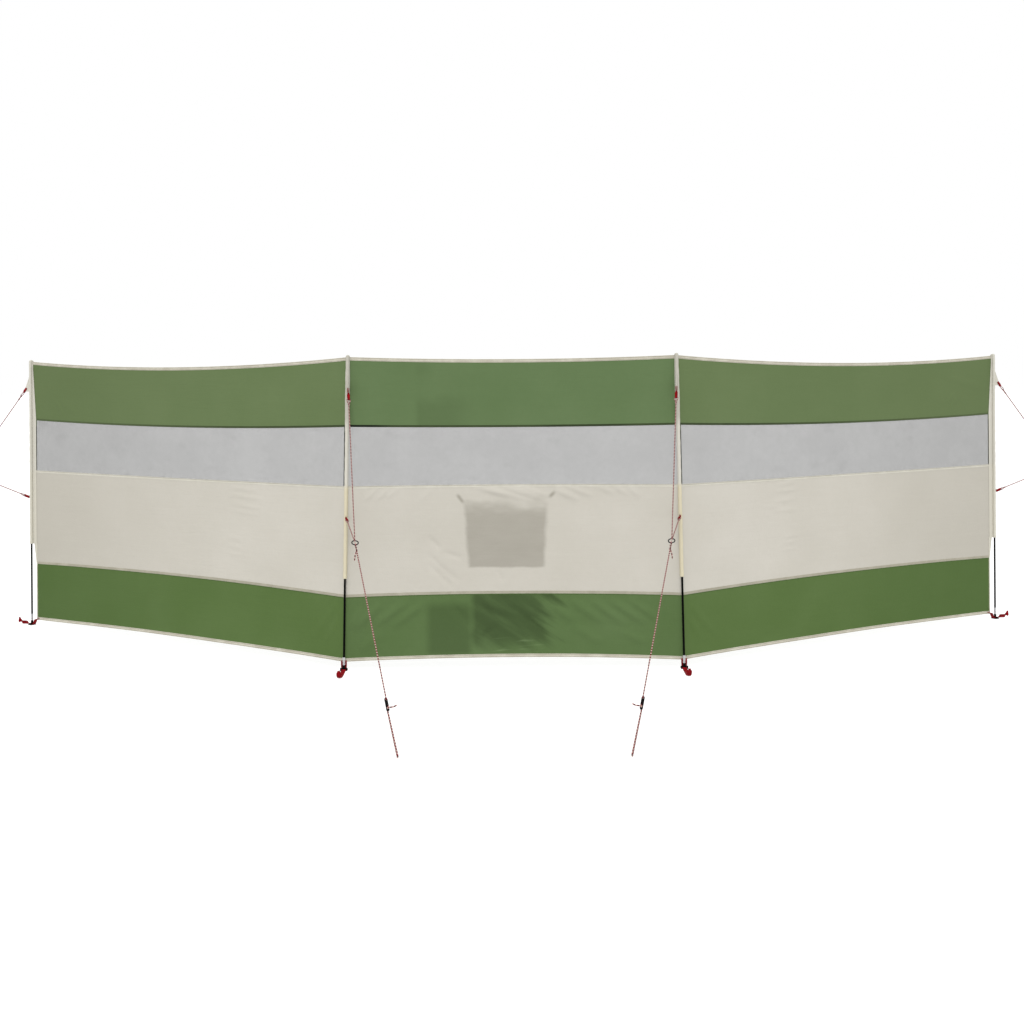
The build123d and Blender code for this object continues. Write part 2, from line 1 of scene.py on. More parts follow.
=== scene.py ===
import bpy
import json
import math
import numpy as np
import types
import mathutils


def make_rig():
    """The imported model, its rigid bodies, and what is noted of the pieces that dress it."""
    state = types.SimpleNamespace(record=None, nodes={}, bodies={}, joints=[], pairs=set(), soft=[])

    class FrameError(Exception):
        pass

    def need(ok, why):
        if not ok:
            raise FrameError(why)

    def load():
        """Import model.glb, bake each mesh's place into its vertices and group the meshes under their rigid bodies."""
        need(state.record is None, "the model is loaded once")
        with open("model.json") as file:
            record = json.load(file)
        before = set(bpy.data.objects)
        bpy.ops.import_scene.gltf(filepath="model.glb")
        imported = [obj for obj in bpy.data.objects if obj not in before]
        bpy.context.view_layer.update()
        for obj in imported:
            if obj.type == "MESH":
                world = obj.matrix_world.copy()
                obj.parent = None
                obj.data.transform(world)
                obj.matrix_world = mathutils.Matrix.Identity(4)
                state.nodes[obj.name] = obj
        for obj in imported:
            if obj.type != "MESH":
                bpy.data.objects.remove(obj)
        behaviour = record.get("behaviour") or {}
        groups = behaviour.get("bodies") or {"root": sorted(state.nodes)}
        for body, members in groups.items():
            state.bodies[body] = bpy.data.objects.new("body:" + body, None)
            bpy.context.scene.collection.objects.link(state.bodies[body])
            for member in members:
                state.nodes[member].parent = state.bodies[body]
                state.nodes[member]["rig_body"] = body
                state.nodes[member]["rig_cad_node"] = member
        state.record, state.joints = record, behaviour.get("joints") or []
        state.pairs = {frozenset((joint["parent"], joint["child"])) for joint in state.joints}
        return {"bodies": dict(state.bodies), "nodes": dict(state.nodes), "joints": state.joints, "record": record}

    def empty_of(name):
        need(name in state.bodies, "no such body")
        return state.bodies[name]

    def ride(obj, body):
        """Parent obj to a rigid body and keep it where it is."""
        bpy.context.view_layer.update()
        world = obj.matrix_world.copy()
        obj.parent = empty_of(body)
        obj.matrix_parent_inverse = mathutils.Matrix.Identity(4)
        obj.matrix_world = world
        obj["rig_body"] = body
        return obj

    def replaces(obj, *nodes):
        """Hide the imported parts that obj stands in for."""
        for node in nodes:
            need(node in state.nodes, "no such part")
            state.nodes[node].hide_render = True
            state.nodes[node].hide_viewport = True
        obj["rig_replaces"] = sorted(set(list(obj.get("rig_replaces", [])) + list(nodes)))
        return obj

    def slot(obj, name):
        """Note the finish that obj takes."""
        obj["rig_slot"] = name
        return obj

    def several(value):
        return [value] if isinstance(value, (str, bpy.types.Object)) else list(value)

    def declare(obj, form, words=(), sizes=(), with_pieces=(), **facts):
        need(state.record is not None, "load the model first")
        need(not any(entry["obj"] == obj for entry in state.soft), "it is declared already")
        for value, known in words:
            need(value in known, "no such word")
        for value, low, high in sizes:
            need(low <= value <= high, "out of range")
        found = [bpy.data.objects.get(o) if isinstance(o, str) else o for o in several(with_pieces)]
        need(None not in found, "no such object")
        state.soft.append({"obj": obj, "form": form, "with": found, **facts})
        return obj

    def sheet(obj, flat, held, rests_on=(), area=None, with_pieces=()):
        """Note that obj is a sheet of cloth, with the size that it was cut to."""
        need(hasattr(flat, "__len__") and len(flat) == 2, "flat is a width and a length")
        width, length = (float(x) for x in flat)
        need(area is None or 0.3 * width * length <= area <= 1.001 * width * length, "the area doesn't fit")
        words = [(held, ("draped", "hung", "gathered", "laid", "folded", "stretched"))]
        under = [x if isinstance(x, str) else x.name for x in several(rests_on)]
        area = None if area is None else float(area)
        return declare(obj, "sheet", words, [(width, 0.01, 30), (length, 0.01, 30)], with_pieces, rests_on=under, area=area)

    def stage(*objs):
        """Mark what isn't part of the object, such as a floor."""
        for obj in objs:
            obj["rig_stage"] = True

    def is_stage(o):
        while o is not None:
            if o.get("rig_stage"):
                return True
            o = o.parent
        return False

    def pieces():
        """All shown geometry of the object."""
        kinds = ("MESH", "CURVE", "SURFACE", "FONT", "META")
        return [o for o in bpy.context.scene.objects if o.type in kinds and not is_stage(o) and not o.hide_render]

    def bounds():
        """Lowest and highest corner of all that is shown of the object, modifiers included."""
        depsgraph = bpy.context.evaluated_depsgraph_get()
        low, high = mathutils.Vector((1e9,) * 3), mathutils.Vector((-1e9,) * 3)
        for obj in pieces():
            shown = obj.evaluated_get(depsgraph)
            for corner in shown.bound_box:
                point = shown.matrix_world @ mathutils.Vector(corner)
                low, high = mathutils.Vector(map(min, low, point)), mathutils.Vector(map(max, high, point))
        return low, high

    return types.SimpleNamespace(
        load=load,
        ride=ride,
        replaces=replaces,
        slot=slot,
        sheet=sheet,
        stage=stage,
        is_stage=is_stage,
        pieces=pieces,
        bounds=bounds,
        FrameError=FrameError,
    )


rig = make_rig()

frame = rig.load()
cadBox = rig.bounds()
nodes = frame["nodes"]
print("frame loaded,", len(nodes), "nodes")

# Camera at the photograph's place, and a pale floor under plain soft light
studio = {
    "cameraPlace": (0.7734, -5.5354, 1.3535),
    "sensor": 36,
    "lens": 42.6,
    "roll": 0.37,
    "shift": (0.0008, -0.1358),
    "clipEnd": 400,
    "skyStrength": 1.0,
    "keyStrength": 1.9,
    "keyTurn": (25, 0, -6),
    "keyAngle": 16,
    "floorSize": 160,
    "floorTone": (0.34, 0.34, 0.337, 1),
    "floorPale": (0.36, 0.36, 0.36, 1),
    "floorGlow": 0.74,
}
white = (1, 1, 1, 1)
bpy.ops.object.select_all(action="DESELECT")
bpy.ops.object.camera_add(
    location=studio["cameraPlace"],
    rotation=(math.radians(90), math.radians(studio["roll"]), 0),
)
camera = bpy.context.object
camera.data.sensor_width = studio["sensor"]
camera.data.lens = studio["lens"]
camera.data.shift_x, camera.data.shift_y = studio["shift"]
camera.data.clip_end = studio["clipEnd"]
bpy.context.scene.camera = camera
bpy.context.scene.view_settings.view_transform = "Standard"

sky = bpy.data.worlds.new("softSky")
sky.use_nodes = True
backdrop = sky.node_tree.nodes["Background"]
backdrop.inputs["Color"].default_value = white
backdrop.inputs["Strength"].default_value = studio["skyStrength"]
bpy.context.scene.world = sky
bpy.ops.object.light_add(type="SUN", rotation=[math.radians(a) for a in studio["keyTurn"]])
keyLight = bpy.context.object
keyLight.data.energy = studio["keyStrength"]
keyLight.data.angle = math.radians(studio["keyAngle"])


# One wrapped socket: operators add Math nodes, node() adds any other node
def mathsNode(operation, reflected=False):
    def method(self, other=None):
        pair = (other, self) if reflected else (self, other)
        given = {key: value for key, value in enumerate(pair) if value is not None}
        return self.node("ShaderNodeMath", {"operation": operation}, given)

    return method


class Signal:
    def __init__(self, tree, socket=None):
        self.tree = tree
        self.socket = socket

    def node(self, kind, settings=None, inputs=None, output=0):
        made = self.tree.nodes.new(kind)
        for key, value in (settings or {}).items():
            setattr(made, key, value)
        for key, value in (inputs or {}).items():
            if isinstance(value, Signal):
                self.tree.links.new(value.socket, made.inputs[key])
            else:
                made.inputs[key].default_value = value
        if isinstance(output, tuple):
            return [Signal(self.tree, made.outputs[key]) for key in output]
        return Signal(self.tree, made.outputs[output])

    __add__ = __radd__ = mathsNode("ADD")
    __sub__ = mathsNode("SUBTRACT")
    __rsub__ = mathsNode("SUBTRACT", True)
    __mul__ = __rmul__ = mathsNode("MULTIPLY")
    __truediv__ = mathsNode("DIVIDE")
    __rtruediv__ = mathsNode("DIVIDE", True)
    __gt__ = mathsNode("GREATER_THAN")
    __lt__ = mathsNode("LESS_THAN")
    __abs__ = mathsNode("ABSOLUTE")
    sine = mathsNode("SINE")
    fraction = mathsNode("FRACT")
    smaller = mathsNode("MINIMUM")
    larger = mathsNode("MAXIMUM")

    def wave(self, pitch):
        return (self * (math.tau / pitch)).sine()

    def ease(self, low, high):
        # smooth step from 0 at low to 1 at high
        return self.node(
            "ShaderNodeMapRange",
            {"interpolation_type": "SMOOTHSTEP"},
            {"Value": self, "From Min": low, "From Max": high},
        )

    def between(self, spans):
        # 1 inside two soft edges, 0 outside them
        return self.ease(*spans[0]) * self.ease(*spans[1])

    def noise(self, scale, detail=3.0, rough=0.55):
        return self.node(
            "ShaderNodeTexNoise",
            None,
            {"Vector": self, "Scale": scale, "Detail": detail, "Roughness": rough},
        )

    def tint(self, first, second):
        # colour that goes from first to second by this value
        return self.node("ShaderNodeMix", {"data_type": "RGBA"}, {0: self, 6: first, 7: second}, 2)

    def parts(self):
        return self.node("ShaderNodeSeparateXYZ", None, {0: self}, (0, 1, 2))

    def stretched(self, scale, turn=(0, 0, 0)):
        return self.node("ShaderNodeMapping", None, {"Vector": self, "Scale": scale, "Rotation": turn})

    def bump(self, distance, strength):
        return self.node("ShaderNodeBump", None, {"Height": self, "Distance": distance, "Strength": strength})


finishes = {}


def newFinish(name, **constants):
    finish = finishes[name] = bpy.data.materials.new(name)
    finish.use_nodes = True
    tree = finish.node_tree
    shader = tree.nodes["Principled BSDF"]
    for key, value in constants.items():
        shader.inputs[key.replace("_", " ")].default_value = value
    uv, place = Signal(tree).node("ShaderNodeTexCoord", None, None, ("UV", "Object"))

    def feed(**links):
        for key, value in links.items():
            tree.links.new(value.socket, shader.inputs[key.replace("_", " ")])

    return uv, place, feed


def tone(*screen):
    # linear colour from 0-255 screen values
    shares = [value / 255 for value in screen]
    return (*(s / 12.92 if s <= 0.04045 else ((s + 0.055) / 1.055) ** 2.4 for s in shares), 1.0)


mirrorX = 1.556                 # distance between the inner feet; the right half mirrors the left


def fromMiddle(x):
    return abs(x - mirrorX / 2)


# Painted shade: a darker stretch of the middle bay's top band
topPatch = {
    "left": (0.335, 0.365),
    "right": (0.60, 0.46),
    "below": (1.32, 1.25),
    "corner": (0.43, 0.36),
    "above": (1.325, 1.37),
    "dark": tone(70, 87, 54),
}


def topShade(place, colour):
    x, _, z = place.parts()
    cloud = place.noise(11, 2)
    side = (x + cloud * 0.02).ease(*topPatch["left"]) * (x - cloud * 0.06).ease(*topPatch["right"])
    low = (z + cloud * 0.10).ease(*topPatch["below"])
    high = x.ease(*topPatch["corner"]) * z.ease(*topPatch["above"])
    return (side * (low * 0.32 + high * 0.14 + 0.04)).tint(colour, topPatch["dark"])


# Painted shadow in two darker stretches of the middle bay's lower band, with slanting streaks, and painted highlights
# on ridges over the hem
lowerShadePatch = {
    "firstSides": ((0.36, 0.41), (0.60, 0.56)),
    "firstEnds": ((0.32, 0.27), (0.04, 0.09)),
    "secondLeft": (0.57, 0.61),
    "secondRight": (0.82, 0.70),
    "secondFoot": (0.10, 0.20),
    "streakTurn": math.radians(-34),
    "ridgeTurn": math.radians(4),
    "ridgeSides": ((0.58, 0.66), (0.94, 0.86)),
    "ridgeEnds": ((0.06, 0.08), (0.15, 0.12)),
    "dark": tone(46, 60, 32),
    "ridge": tone(112, 132, 92),
}


def slanted(place, turn, scale):
    return place.stretched((1, 1, 1), (0, turn, 0)).stretched(scale)


def lowerPaintedShade(place, colour):
    x, _, z = place.parts()
    streak = slanted(place, lowerShadePatch["streakTurn"], (3.4, 1, 23)).noise(1, 3, 0.5)
    first = x.between(lowerShadePatch["firstSides"]) * z.between(lowerShadePatch["firstEnds"])
    second = (z + streak * 0.08).ease(*lowerShadePatch["secondFoot"]) * x.ease(*lowerShadePatch["secondLeft"])
    second = second * (x - streak * 0.36).ease(*lowerShadePatch["secondRight"])
    # mask of the painted shadow in the two darker stretches
    mask = first * 0.42 + second * (streak.ease(0.34, 0.68) * 0.22 + 0.48)
    # painted highlights along ridges over the hem
    ridge = slanted(place, lowerShadePatch["ridgeTurn"], (5, 1, 80)).noise(1, 2).ease(0.56, 0.68)
    zone = x.between(lowerShadePatch["ridgeSides"]) * z.between(lowerShadePatch["ridgeEnds"])
    colour = mask.tint(colour, lowerShadePatch["dark"])
    return (ridge * zone * 0.45).tint(colour, lowerShadePatch["ridge"])


# Painted shade where the pocket behind the cream band blocks the light through it, crisp below and soft above, with
# the painted shadows of two tabs
pocketPatch = {
    "middle": 0.745,
    "bottom": 0.465,
    "half": 0.170,              # half its width at the bottom
    "flare": 0.0623,            # how fast that grows with the height
    "sideEdge": (0.015, -0.012),
    "lowEdge": (0.458, 0.472),
    "highEdge": (0.800, 0.690),
    "tabs": ((0.524, 0.797, 0.026, -0.034), (0.968, 0.808, -0.022, -0.022)),
    "tabWidth": 0.014,
    "tabSoft": 0.012,
    "shade": tone(149, 145, 135),
    "tabShade": tone(122, 118, 106),
}


def pocketShade(place, colour):
    x, _, z = place.parts()
    cloud = place.stretched((1, 1, 2.2)).noise(7, 2)
    wander = (place.noise(19, 2) - 0.5) * 0.016
    half = (z - pocketPatch["bottom"]) * pocketPatch["flare"] + pocketPatch["half"]
    body = (abs(x - pocketPatch["middle"]) - half + wander).ease(*pocketPatch["sideEdge"])
    body = body * (z + wander * 0.6).ease(*pocketPatch["lowEdge"])
    body = body * (z + (cloud - 0.5) * 0.16).ease(*pocketPatch["highEdge"])
    shaded = (body * (cloud * 0.3 + 0.78)).tint(colour, pocketPatch["shade"])
    soft = pocketPatch["tabSoft"]
    for startX, startZ, stepX, stepZ in pocketPatch["tabs"]:
        size = math.hypot(stepX, stepZ)
        wayX, wayZ = stepX / size, stepZ / size
        along = (x - startX) * wayX + (z - startZ) * wayZ
        across = abs((x - startX) * wayZ - (z - startZ) * wayX)
        # painted shadow of a tab behind the cloth
        mark = across.ease(pocketPatch["tabWidth"], 0.0)
        mark = mark * along.between(((-soft, soft), (size + soft, size - soft)))
        shaded = (mark * 0.62).tint(shaded, pocketPatch["tabShade"])
    return shaded


# The inner sleeves are duller over the top band and warmer over the cream one
sleevePatch = {
    "inner": (1.5, 1.2),
    "high": (1.10, 1.16),
    "low": (0.855, 0.825),
    "dull": tone(146, 143, 131),
    "warm": tone(194, 185, 156),
}


def sleeveShade(place, colour):
    x, _, z = place.parts()
    inner = fromMiddle(x).ease(*sleevePatch["inner"])
    colour = (z.ease(*sleevePatch["high"]) * inner * 0.5).tint(colour, sleevePatch["dull"])
    return (z.ease(*sleevePatch["low"]) * (inner * 0.7 + 0.1)).tint(colour, sleevePatch["warm"])


# Woven cloth: fine plain weave, soft mottling, faint rolled-up creases. For each one, its two
# tones on a screen, the painted shade it takes on towards the outer ends, the pitch of its weave and its shade
cloths = {
    "greenClothUpper": ((88, 105, 67), (94, 110, 73), (83, 97, 61), 0.0009, None),
    "greenClothMiddle": ((84, 104, 67), (91, 110, 74), (83, 97, 61), 0.0009, topShade),
    "greenClothLower": ((75, 97, 50), (82, 103, 58), (62, 83, 39), 0.0009, None),
    "greenClothSlack": ((76, 97, 56), (84, 104, 65), (62, 83, 39), 0.0009, lowerPaintedShade),
    "creamCloth": ((180, 176, 166), (187, 183, 174), (155, 151, 140), 0.0009, None),
    "creamClothPocket": ((177, 173, 163), (184, 180, 171), (155, 151, 140), 0.0009, pocketShade),
    "sleeveCloth": ((184, 181, 170), (198, 195, 185), (184, 181, 170), 0.0008, sleeveShade),
    "pocketCloth": ((164, 160, 149), (176, 172, 161), (164, 160, 149), 0.0008, None),
}
for name, (main, pale, outer, pitch, shade) in cloths.items():
    uv, place, feed = newFinish(name, Sheen_Weight=0.02, Specular_IOR_Level=0.12)
    u, v, _ = uv.parts()
    weave = u.wave(pitch) * v.wave(pitch)
    fine = place.noise(34, 4, 0.6)
    thread = uv.stretched((900, 24, 1)).noise(1, 2) + uv.stretched((24, 900, 1)).noise(1, 2)
    crease = place.stretched((1.4, 1.4, 11), (0, math.radians(11), 0)).noise(2.3, 3, 0.62)
    mix = place.noise(2.6, 2) * 0.75 + fine * 0.25 + thread * 0.12 - 0.18 + weave * 0.05
    colour = mix.ease(0.2, 0.8).tint(tone(*main), tone(*pale))
    # painted shade: the cloth darkens towards the outer ends of the side bays
    colour = (fromMiddle(place.parts()[0]).ease(1.2, 2.75) * 0.5).tint(colour, tone(*outer))
    if shade:
        colour = shade(place, colour)
    height = weave * 0.22 + thread * 0.3 + fine * 1.2 + crease * 5.0
    rough = fine * 0.16 + weave * 0.04 + 0.70
    feed(Base_Color=colour, Roughness=rough, Normal=height.bump(0.0005, 0.55))

# Clear film, softly mottled, with painted shade darkening it towards the outer ends
film = {
    "main": tone(146, 146, 145),
    "pale": tone(157, 157, 156),
    "blot": tone(118, 118, 117),
    "outer": (1.1, 2.6),
    "alpha": 0.60,
}
_, place, feed = newFinish(
    "clearFilm", IOR=1.5, Specular_IOR_Level=0.3, Coat_Weight=0.05, Coat_Roughness=0.3
)
cloud = place.noise(4.5, 3, 0.55)
speck = place.noise(40, 3, 0.65)
blot = place.stretched((1, 1, 1.8)).noise(11, 2).ease(0.58, 0.72)
# painted shade: mask that grows towards the outer ends of the side bays
outer = fromMiddle(place.parts()[0]).ease(*film["outer"])
colour = (cloud * 0.8 + speck * 0.2).ease(0.3, 0.7).tint(film["main"], film["pale"])
ripple = place.stretched((1, 1, 2.4)).noise(6, 2) * 4 + speck * 0.5
feed(
    Base_Color=(blot * 0.13 + outer * 0.18).tint(colour, film["blot"]),
    Roughness=cloud * 0.3 + 0.24,
    Alpha=cloud * 0.08 + outer * 0.05 + blot * 0.02 + film["alpha"],
    Normal=ripple.bump(0.0012, 0.5),
)

# The seam over the window carries a painted shadow under the green band's fold, darkest beside the left inner pole and
# fading towards the ends; the line beside the window is dark, and the painted shadow line under the lower seam is
# faint
seamPatch = {
    "outer": (0.9, 2.5),
    "near": ((0.0, 0.03), (0.26, 0.12)),
    "far": ((0.85, 0.98), (1.36, 1.22)),
    "edge": (1.088, 1.080),
    "low": (0.55, 0.50),
    "outerTone": tone(74, 86, 56),
    "darkTone": tone(22, 28, 16),
    "lowTone": tone(68, 88, 48),
}


def seamShade(place, colour):
    x, _, z = place.parts()
    colour = (fromMiddle(x).ease(*seamPatch["outer"]) * 0.85).tint(colour, seamPatch["outerTone"])
    # painted shadow on the window seam, darkest beside the left inner pole
    near = x.between(seamPatch["near"]) + x.between(seamPatch["far"]) * 0.4
    colour = near.larger(z.ease(*seamPatch["edge"])).tint(colour, seamPatch["darkTone"])
    return z.ease(*seamPatch["low"]).tint(colour, seamPatch["lowTone"])


# Sewn tapes: twill weave with stitch rows at the given distances across, front and back.
# drop is how far the tape's middle lies under its seam, half is half a stitch's width
tapes = {
    "hemTape": {
        "width": 0.0145, "thick": 0.0028, "tones": ((172, 167, 152), (196, 192, 178)),
        "rows": (0.0026, 0.0116), "half": 0.0017, "thread": (92, 88, 74),
    },
    # the green seam's dark tones are partly its own colour and partly painted shadow under the green band's fold
    "greenSeam": {
        "width": 0.009, "thick": 0.0024, "drop": 0.001, "tones": ((52, 62, 38), (60, 71, 45)), "rows": (),
    },
    "filmSeam": {
        "width": 0.011, "thick": 0.0024, "drop": 0.0055, "tones": ((184, 181, 169), (197, 194, 183)),
        "rows": (0.0085,), "half": 0.0022, "thread": (96, 88, 70),
    },
    "greyTape": {
        "width": 0.012, "thick": 0.0024, "drop": -0.0055, "tones": ((150, 146, 130), (168, 163, 148)),
        "rows": (0.003, 0.009), "half": 0.0009, "thread": (112, 108, 96),
    },
}
stitchPitch = 0.0042
for name, tape in tapes.items():
    uv, place, feed = newFinish(name, Specular_IOR_Level=0.15)
    u, v, _ = uv.parts()
    twill = (u + v).wave(0.0016)
    cloud = place.noise(16, 3)
    colour = (cloud * 0.8 + twill * 0.06).ease(0.25, 0.7).tint(*(tone(*t) for t in tape["tones"]))
    height = twill * 0.12 + uv.stretched((20, 70, 1)).noise(1, 2) * 2.2
    if name == "greenSeam":
        colour = seamShade(place, colour)
    for row in tape["rows"]:
        for across in (row, 2 * tape["width"] + tape["thick"] - row):
            line = 1 - (abs(u - across) / tape["half"]).smaller(1)
            stitch = line * ((v / stitchPitch).fraction() > 0.3)
            colour = (stitch * 0.85).tint(colour, tone(*tape["thread"]))
            height = height + stitch * 1.2
    feed(Base_Color=colour, Roughness=cloud * 0.2 + 0.66, Normal=height.bump(0.0005, 0.6))

# Red webbing: ribs across the strap and darker edges
webbings = {"redStrap": 0.026, "redLoop": 0.011}
for name, width in webbings.items():
    uv, place, feed = newFinish(name, Specular_IOR_Level=0.08)
    u, v, _ = uv.parts()
    rib = v.wave(0.0017)
    cross = rib * u.wave(0.0021)
    cloud = place.noise(60, 3)
    edge = abs((u / width).fraction() - 0.5).ease(0.40, 0.5)
    colour = (cloud + cross * 0.10).ease(0.3, 0.75).tint(tone(104, 1, 9), tone(138, 4, 15))
    colour = (edge * 0.35).tint(colour, tone(54, 0, 4))
    feed(Base_Color=colour, Roughness=cloud * 0.2 + 0.48, Normal=(rib * 0.5 + cross * 0.5).bump(0.0004, 0.7))

# Guy rope: braided sheath, red with pale and dark flecks, which blend more in the bridle over the ring
rope = {
    "radius": 0.0025,
    "sides": 10,
    "braidPitch": 0.0062,
    "fleckPitch": 0.0145,
    "red": (tone(98, 4, 20), tone(114, 8, 28)),
    "paleFleck": tone(202, 174, 165),
    "darkFleck": tone(28, 5, 10),
    "blend": tone(142, 109, 105),
    "bridle": (0.60, 0.68),
}
uv, place, feed = newFinish("guyRope", Specular_IOR_Level=0.06)
u, v, _ = uv.parts()
around = u / (math.tau * rope["radius"])
braid = (around * 4 + v / rope["braidPitch"]).wave(1) * (around * 4 - v / rope["braidPitch"]).wave(1)
fleck = (v / rope["fleckPitch"] + 0.55 + around.wave(1) * 0.13).fraction()
cloud = place.noise(120, 2)
colour = cloud.ease(0.3, 0.7).tint(*rope["red"])
colour = ((fleck > 0.62) * 0.95).tint(colour, rope["paleFleck"])
colour = (1 - (fleck > 0.25)).tint(colour, rope["darkFleck"])
colour = (place.parts()[2].ease(*rope["bridle"]) * 0.6).tint(colour, rope["blend"])
feed(Base_Color=colour, Roughness=cloud * 0.2 + 0.5, Normal=braid.bump(0.0004, 0.8))

# Black rod
_, place, feed = newFinish("blackRod", Specular_IOR_Level=0.02)
streak = place.stretched((520, 520, 5)).noise(1, 3)
scuff = place.stretched((60, 60, 9)).noise(1, 4, 0.7).ease(0.56, 0.74)
feed(
    Base_Color=(streak * 0.5 + scuff * 0.5).tint(tone(3, 3, 3), tone(12, 12, 13)),
    Roughness=streak * 0.15 + scuff * 0.2 + 0.28,
    Normal=streak.bump(0.0002, 0.4),
)

# Plated metal, with its two tones and its roughness
metals = {
    "tipMetal": (tone(150, 150, 152), tone(214, 214, 216), 0.26),
    "ringSteel": (tone(34, 34, 35), tone(74, 74, 76), 0.34),
}
for name, (main, pale, rough) in metals.items():
    _, place, feed = newFinish(name, Metallic=1.0)
    brush = place.stretched((60, 60, 900)).noise(1, 3)
    stain = place.noise(170, 3, 0.6).ease(0.5, 0.72)
    colour = (brush * 0.8 - stain * 0.3).ease(0.1, 0.7).tint(main, pale)
    feed(Base_Color=colour, Roughness=brush * 0.18 + stain * 0.22 + rough, Normal=brush.bump(0.0001, 0.4))

# Moulded plastic, with its tone under dust
plastics = {"footPlastic": tone(15, 15, 16), "runnerPlastic": tone(16, 16, 17)}
for name, pale in plastics.items():
    _, place, feed = newFinish(name, Specular_IOR_Level=0.06)
    grain = place.noise(1400, 2)
    dust = place.noise(110, 3, 0.6).ease(0.5, 0.75)
    colour = (grain * 0.3 + dust * 0.7).tint(tone(4, 4, 4), pale)
    feed(Base_Color=colour, Roughness=grain * 0.15 + dust * 0.2 + 0.42, Normal=grain.bump(0.0002, 0.5))

# Floor
bpy.ops.object.select_all(action="DESELECT")
bpy.ops.mesh.primitive_plane_add(size=studio["floorSize"], location=(mirrorX / 2, 0, 0))
floor = bpy.context.object
floor.name = "paleFloor"
bpy.ops.object.transform_apply(location=True, rotation=False, scale=False)
_, place, feed = newFinish(
    "paleFloor", Roughness=0.9, Emission_Color=white, Emission_Strength=studio["floorGlow"]
)
feed(Base_Color=place.noise(0.8, 2).tint(studio["floorTone"], studio["floorPale"]))
floor.data.materials.append(finishes["paleFloor"])
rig.stage(floor)
print("finishes made,", len(finishes))


# Making and finishing pieces
def selectOnly(*pieces):
    bpy.ops.object.select_all(action="DESELECT")
    for piece in pieces:
        piece.select_set(True)
    bpy.context.view_layer.objects.active = pieces[0]


def newGrid(name, columns, rows, placeAt, uvAt):
    bpy.ops.object.select_all(action="DESELECT")
    bpy.ops.mesh.primitive_grid_add(x_subdivisions=columns, y_subdivisions=rows, size=1)
    piece = bpy.context.object
    piece.name = piece.data.name = name
    mesh = piece.data
    flat = np.empty(len(mesh.vertices) * 3)
    mesh.vertices.foreach_get("co", flat)
    across, along = (flat.reshape(-1, 3) + 0.5)[:, :2].T
    corner = np.empty(len(mesh.loops), dtype=np.int32)
    mesh.loops.foreach_get("vertex_index", corner)
    uv = np.stack(np.broadcast_arrays(*uvAt(across, along)), 1)[corner]
    mesh.uv_layers.active.data.foreach_set("uv", uv.astype(np.float32).ravel())
    mesh.vertices.foreach_set("co", placeAt(across, along).astype(np.float32).ravel())
    mesh.update()
    return piece


def newTable(name, places, u, v):
    # grid from a table of places, row by row, with its u for each column and its v for each row
    rows, columns = places.shape[0] - 1, places.shape[1] - 1

    def spots(across, along):
        return np.rint(along * rows).astype(int), np.rint(across * columns).astype(int)

    def uvAt(across, along):
        row, column = spots(across, along)
        return u[column], v[row]

    return newGrid(name, columns, rows, lambda across, along: places[spots(across, along)], uvAt)


def thicken(piece, thickness):
    made = piece.modifiers.new("thickness", "SOLIDIFY")
    made.thickness = thickness
    made.offset = 0.0
    made.use_even_offset = False
    selectOnly(piece)
    bpy.ops.object.modifier_apply(modifier=made.name)


def weld(piece, turnOut=True, gap=2e-6):
    selectOnly(piece)
    bpy.ops.object.mode_set(mode="EDIT")
    bpy.ops.mesh.select_all(action="SELECT")
    bpy.ops.mesh.remove_doubles(threshold=gap)
    if turnOut:
        bpy.ops.mesh.normals_make_consistent(inside=False)
    bpy.ops.object.mode_set(mode="OBJECT")


def unit(vector):
    vector = np.asarray(vector, float)
    return vector / np.linalg.norm(vector)


def unitRows(rows):
    return rows / np.linalg.norm(rows, axis=1)[:, None]


def runLength(points):
    return np.concatenate([[0], np.cumsum(np.linalg.norm(np.diff(points, axis=0), axis=1))])


def easeOver(value, low, high):
    share = np.clip((value - low) / (high - low), 0, 1)
    return share * share * (3 - 2 * share)


# A closed outline carried along a line, drawn in to a point at both ends; the outline's first
# coordinate goes along side, its second along face
def newSweep(name, path, side, face, outline, scale=None):
    path, side, face = (np.vstack([rows[:1], rows, rows[-1:]]) for rows in (path, side, face))
    scale = np.ones((len(path) - 2, 2)) if scale is None else scale
    scale = np.vstack([np.zeros((1, 2)), scale, np.zeros((1, 2))])
    closed = np.vstack([outline, outline[:1]])
    spot = closed[None] * scale[:, None]
    places = path[:, None] + side[:, None] * spot[..., :1] + face[:, None] * spot[..., 1:]
    piece = newTable(name, places, runLength(closed), runLength(path))
    weld(piece)
    return piece


def roundedBand(width, thick, steps=4):
    # starts at the lower end of the front, goes up it, round the edge and down the back
    w, h = width / 2, thick / 2
    nose = w + min(h, w) * 0.56
    front = [(-w + width * k / steps, h) for k in range(steps + 1)]
    back = [(w - width * k / steps, -h) for k in range(steps + 1)]
    return np.array(front + [(nose, 0)] + back + [(-nose, 0)])


def splinePoints(points, resolution):
    # smooth line through a route, read from its own spline
    curve = bpy.data.curves.new("route", "CURVE")
    curve.dimensions = "3D"
    curve.resolution_u = resolution
    spline = curve.splines.new("NURBS")
    spline.points.add(len(points) - 1)
    for spot, point in zip(spline.points, points):
        spot.co = (*point, 1)
    spline.order_u = 3
    spline.use_endpoint_u = True
    holder = bpy.data.objects.new("route", curve)
    bpy.context.scene.collection.objects.link(holder)
    mesh = bpy.data.meshes.new_from_object(holder)
    line = np.array([v.co[:] for v in mesh.vertices])
    bpy.data.objects.remove(holder)
    bpy.data.curves.remove(curve)
    bpy.data.meshes.remove(mesh)
    return line


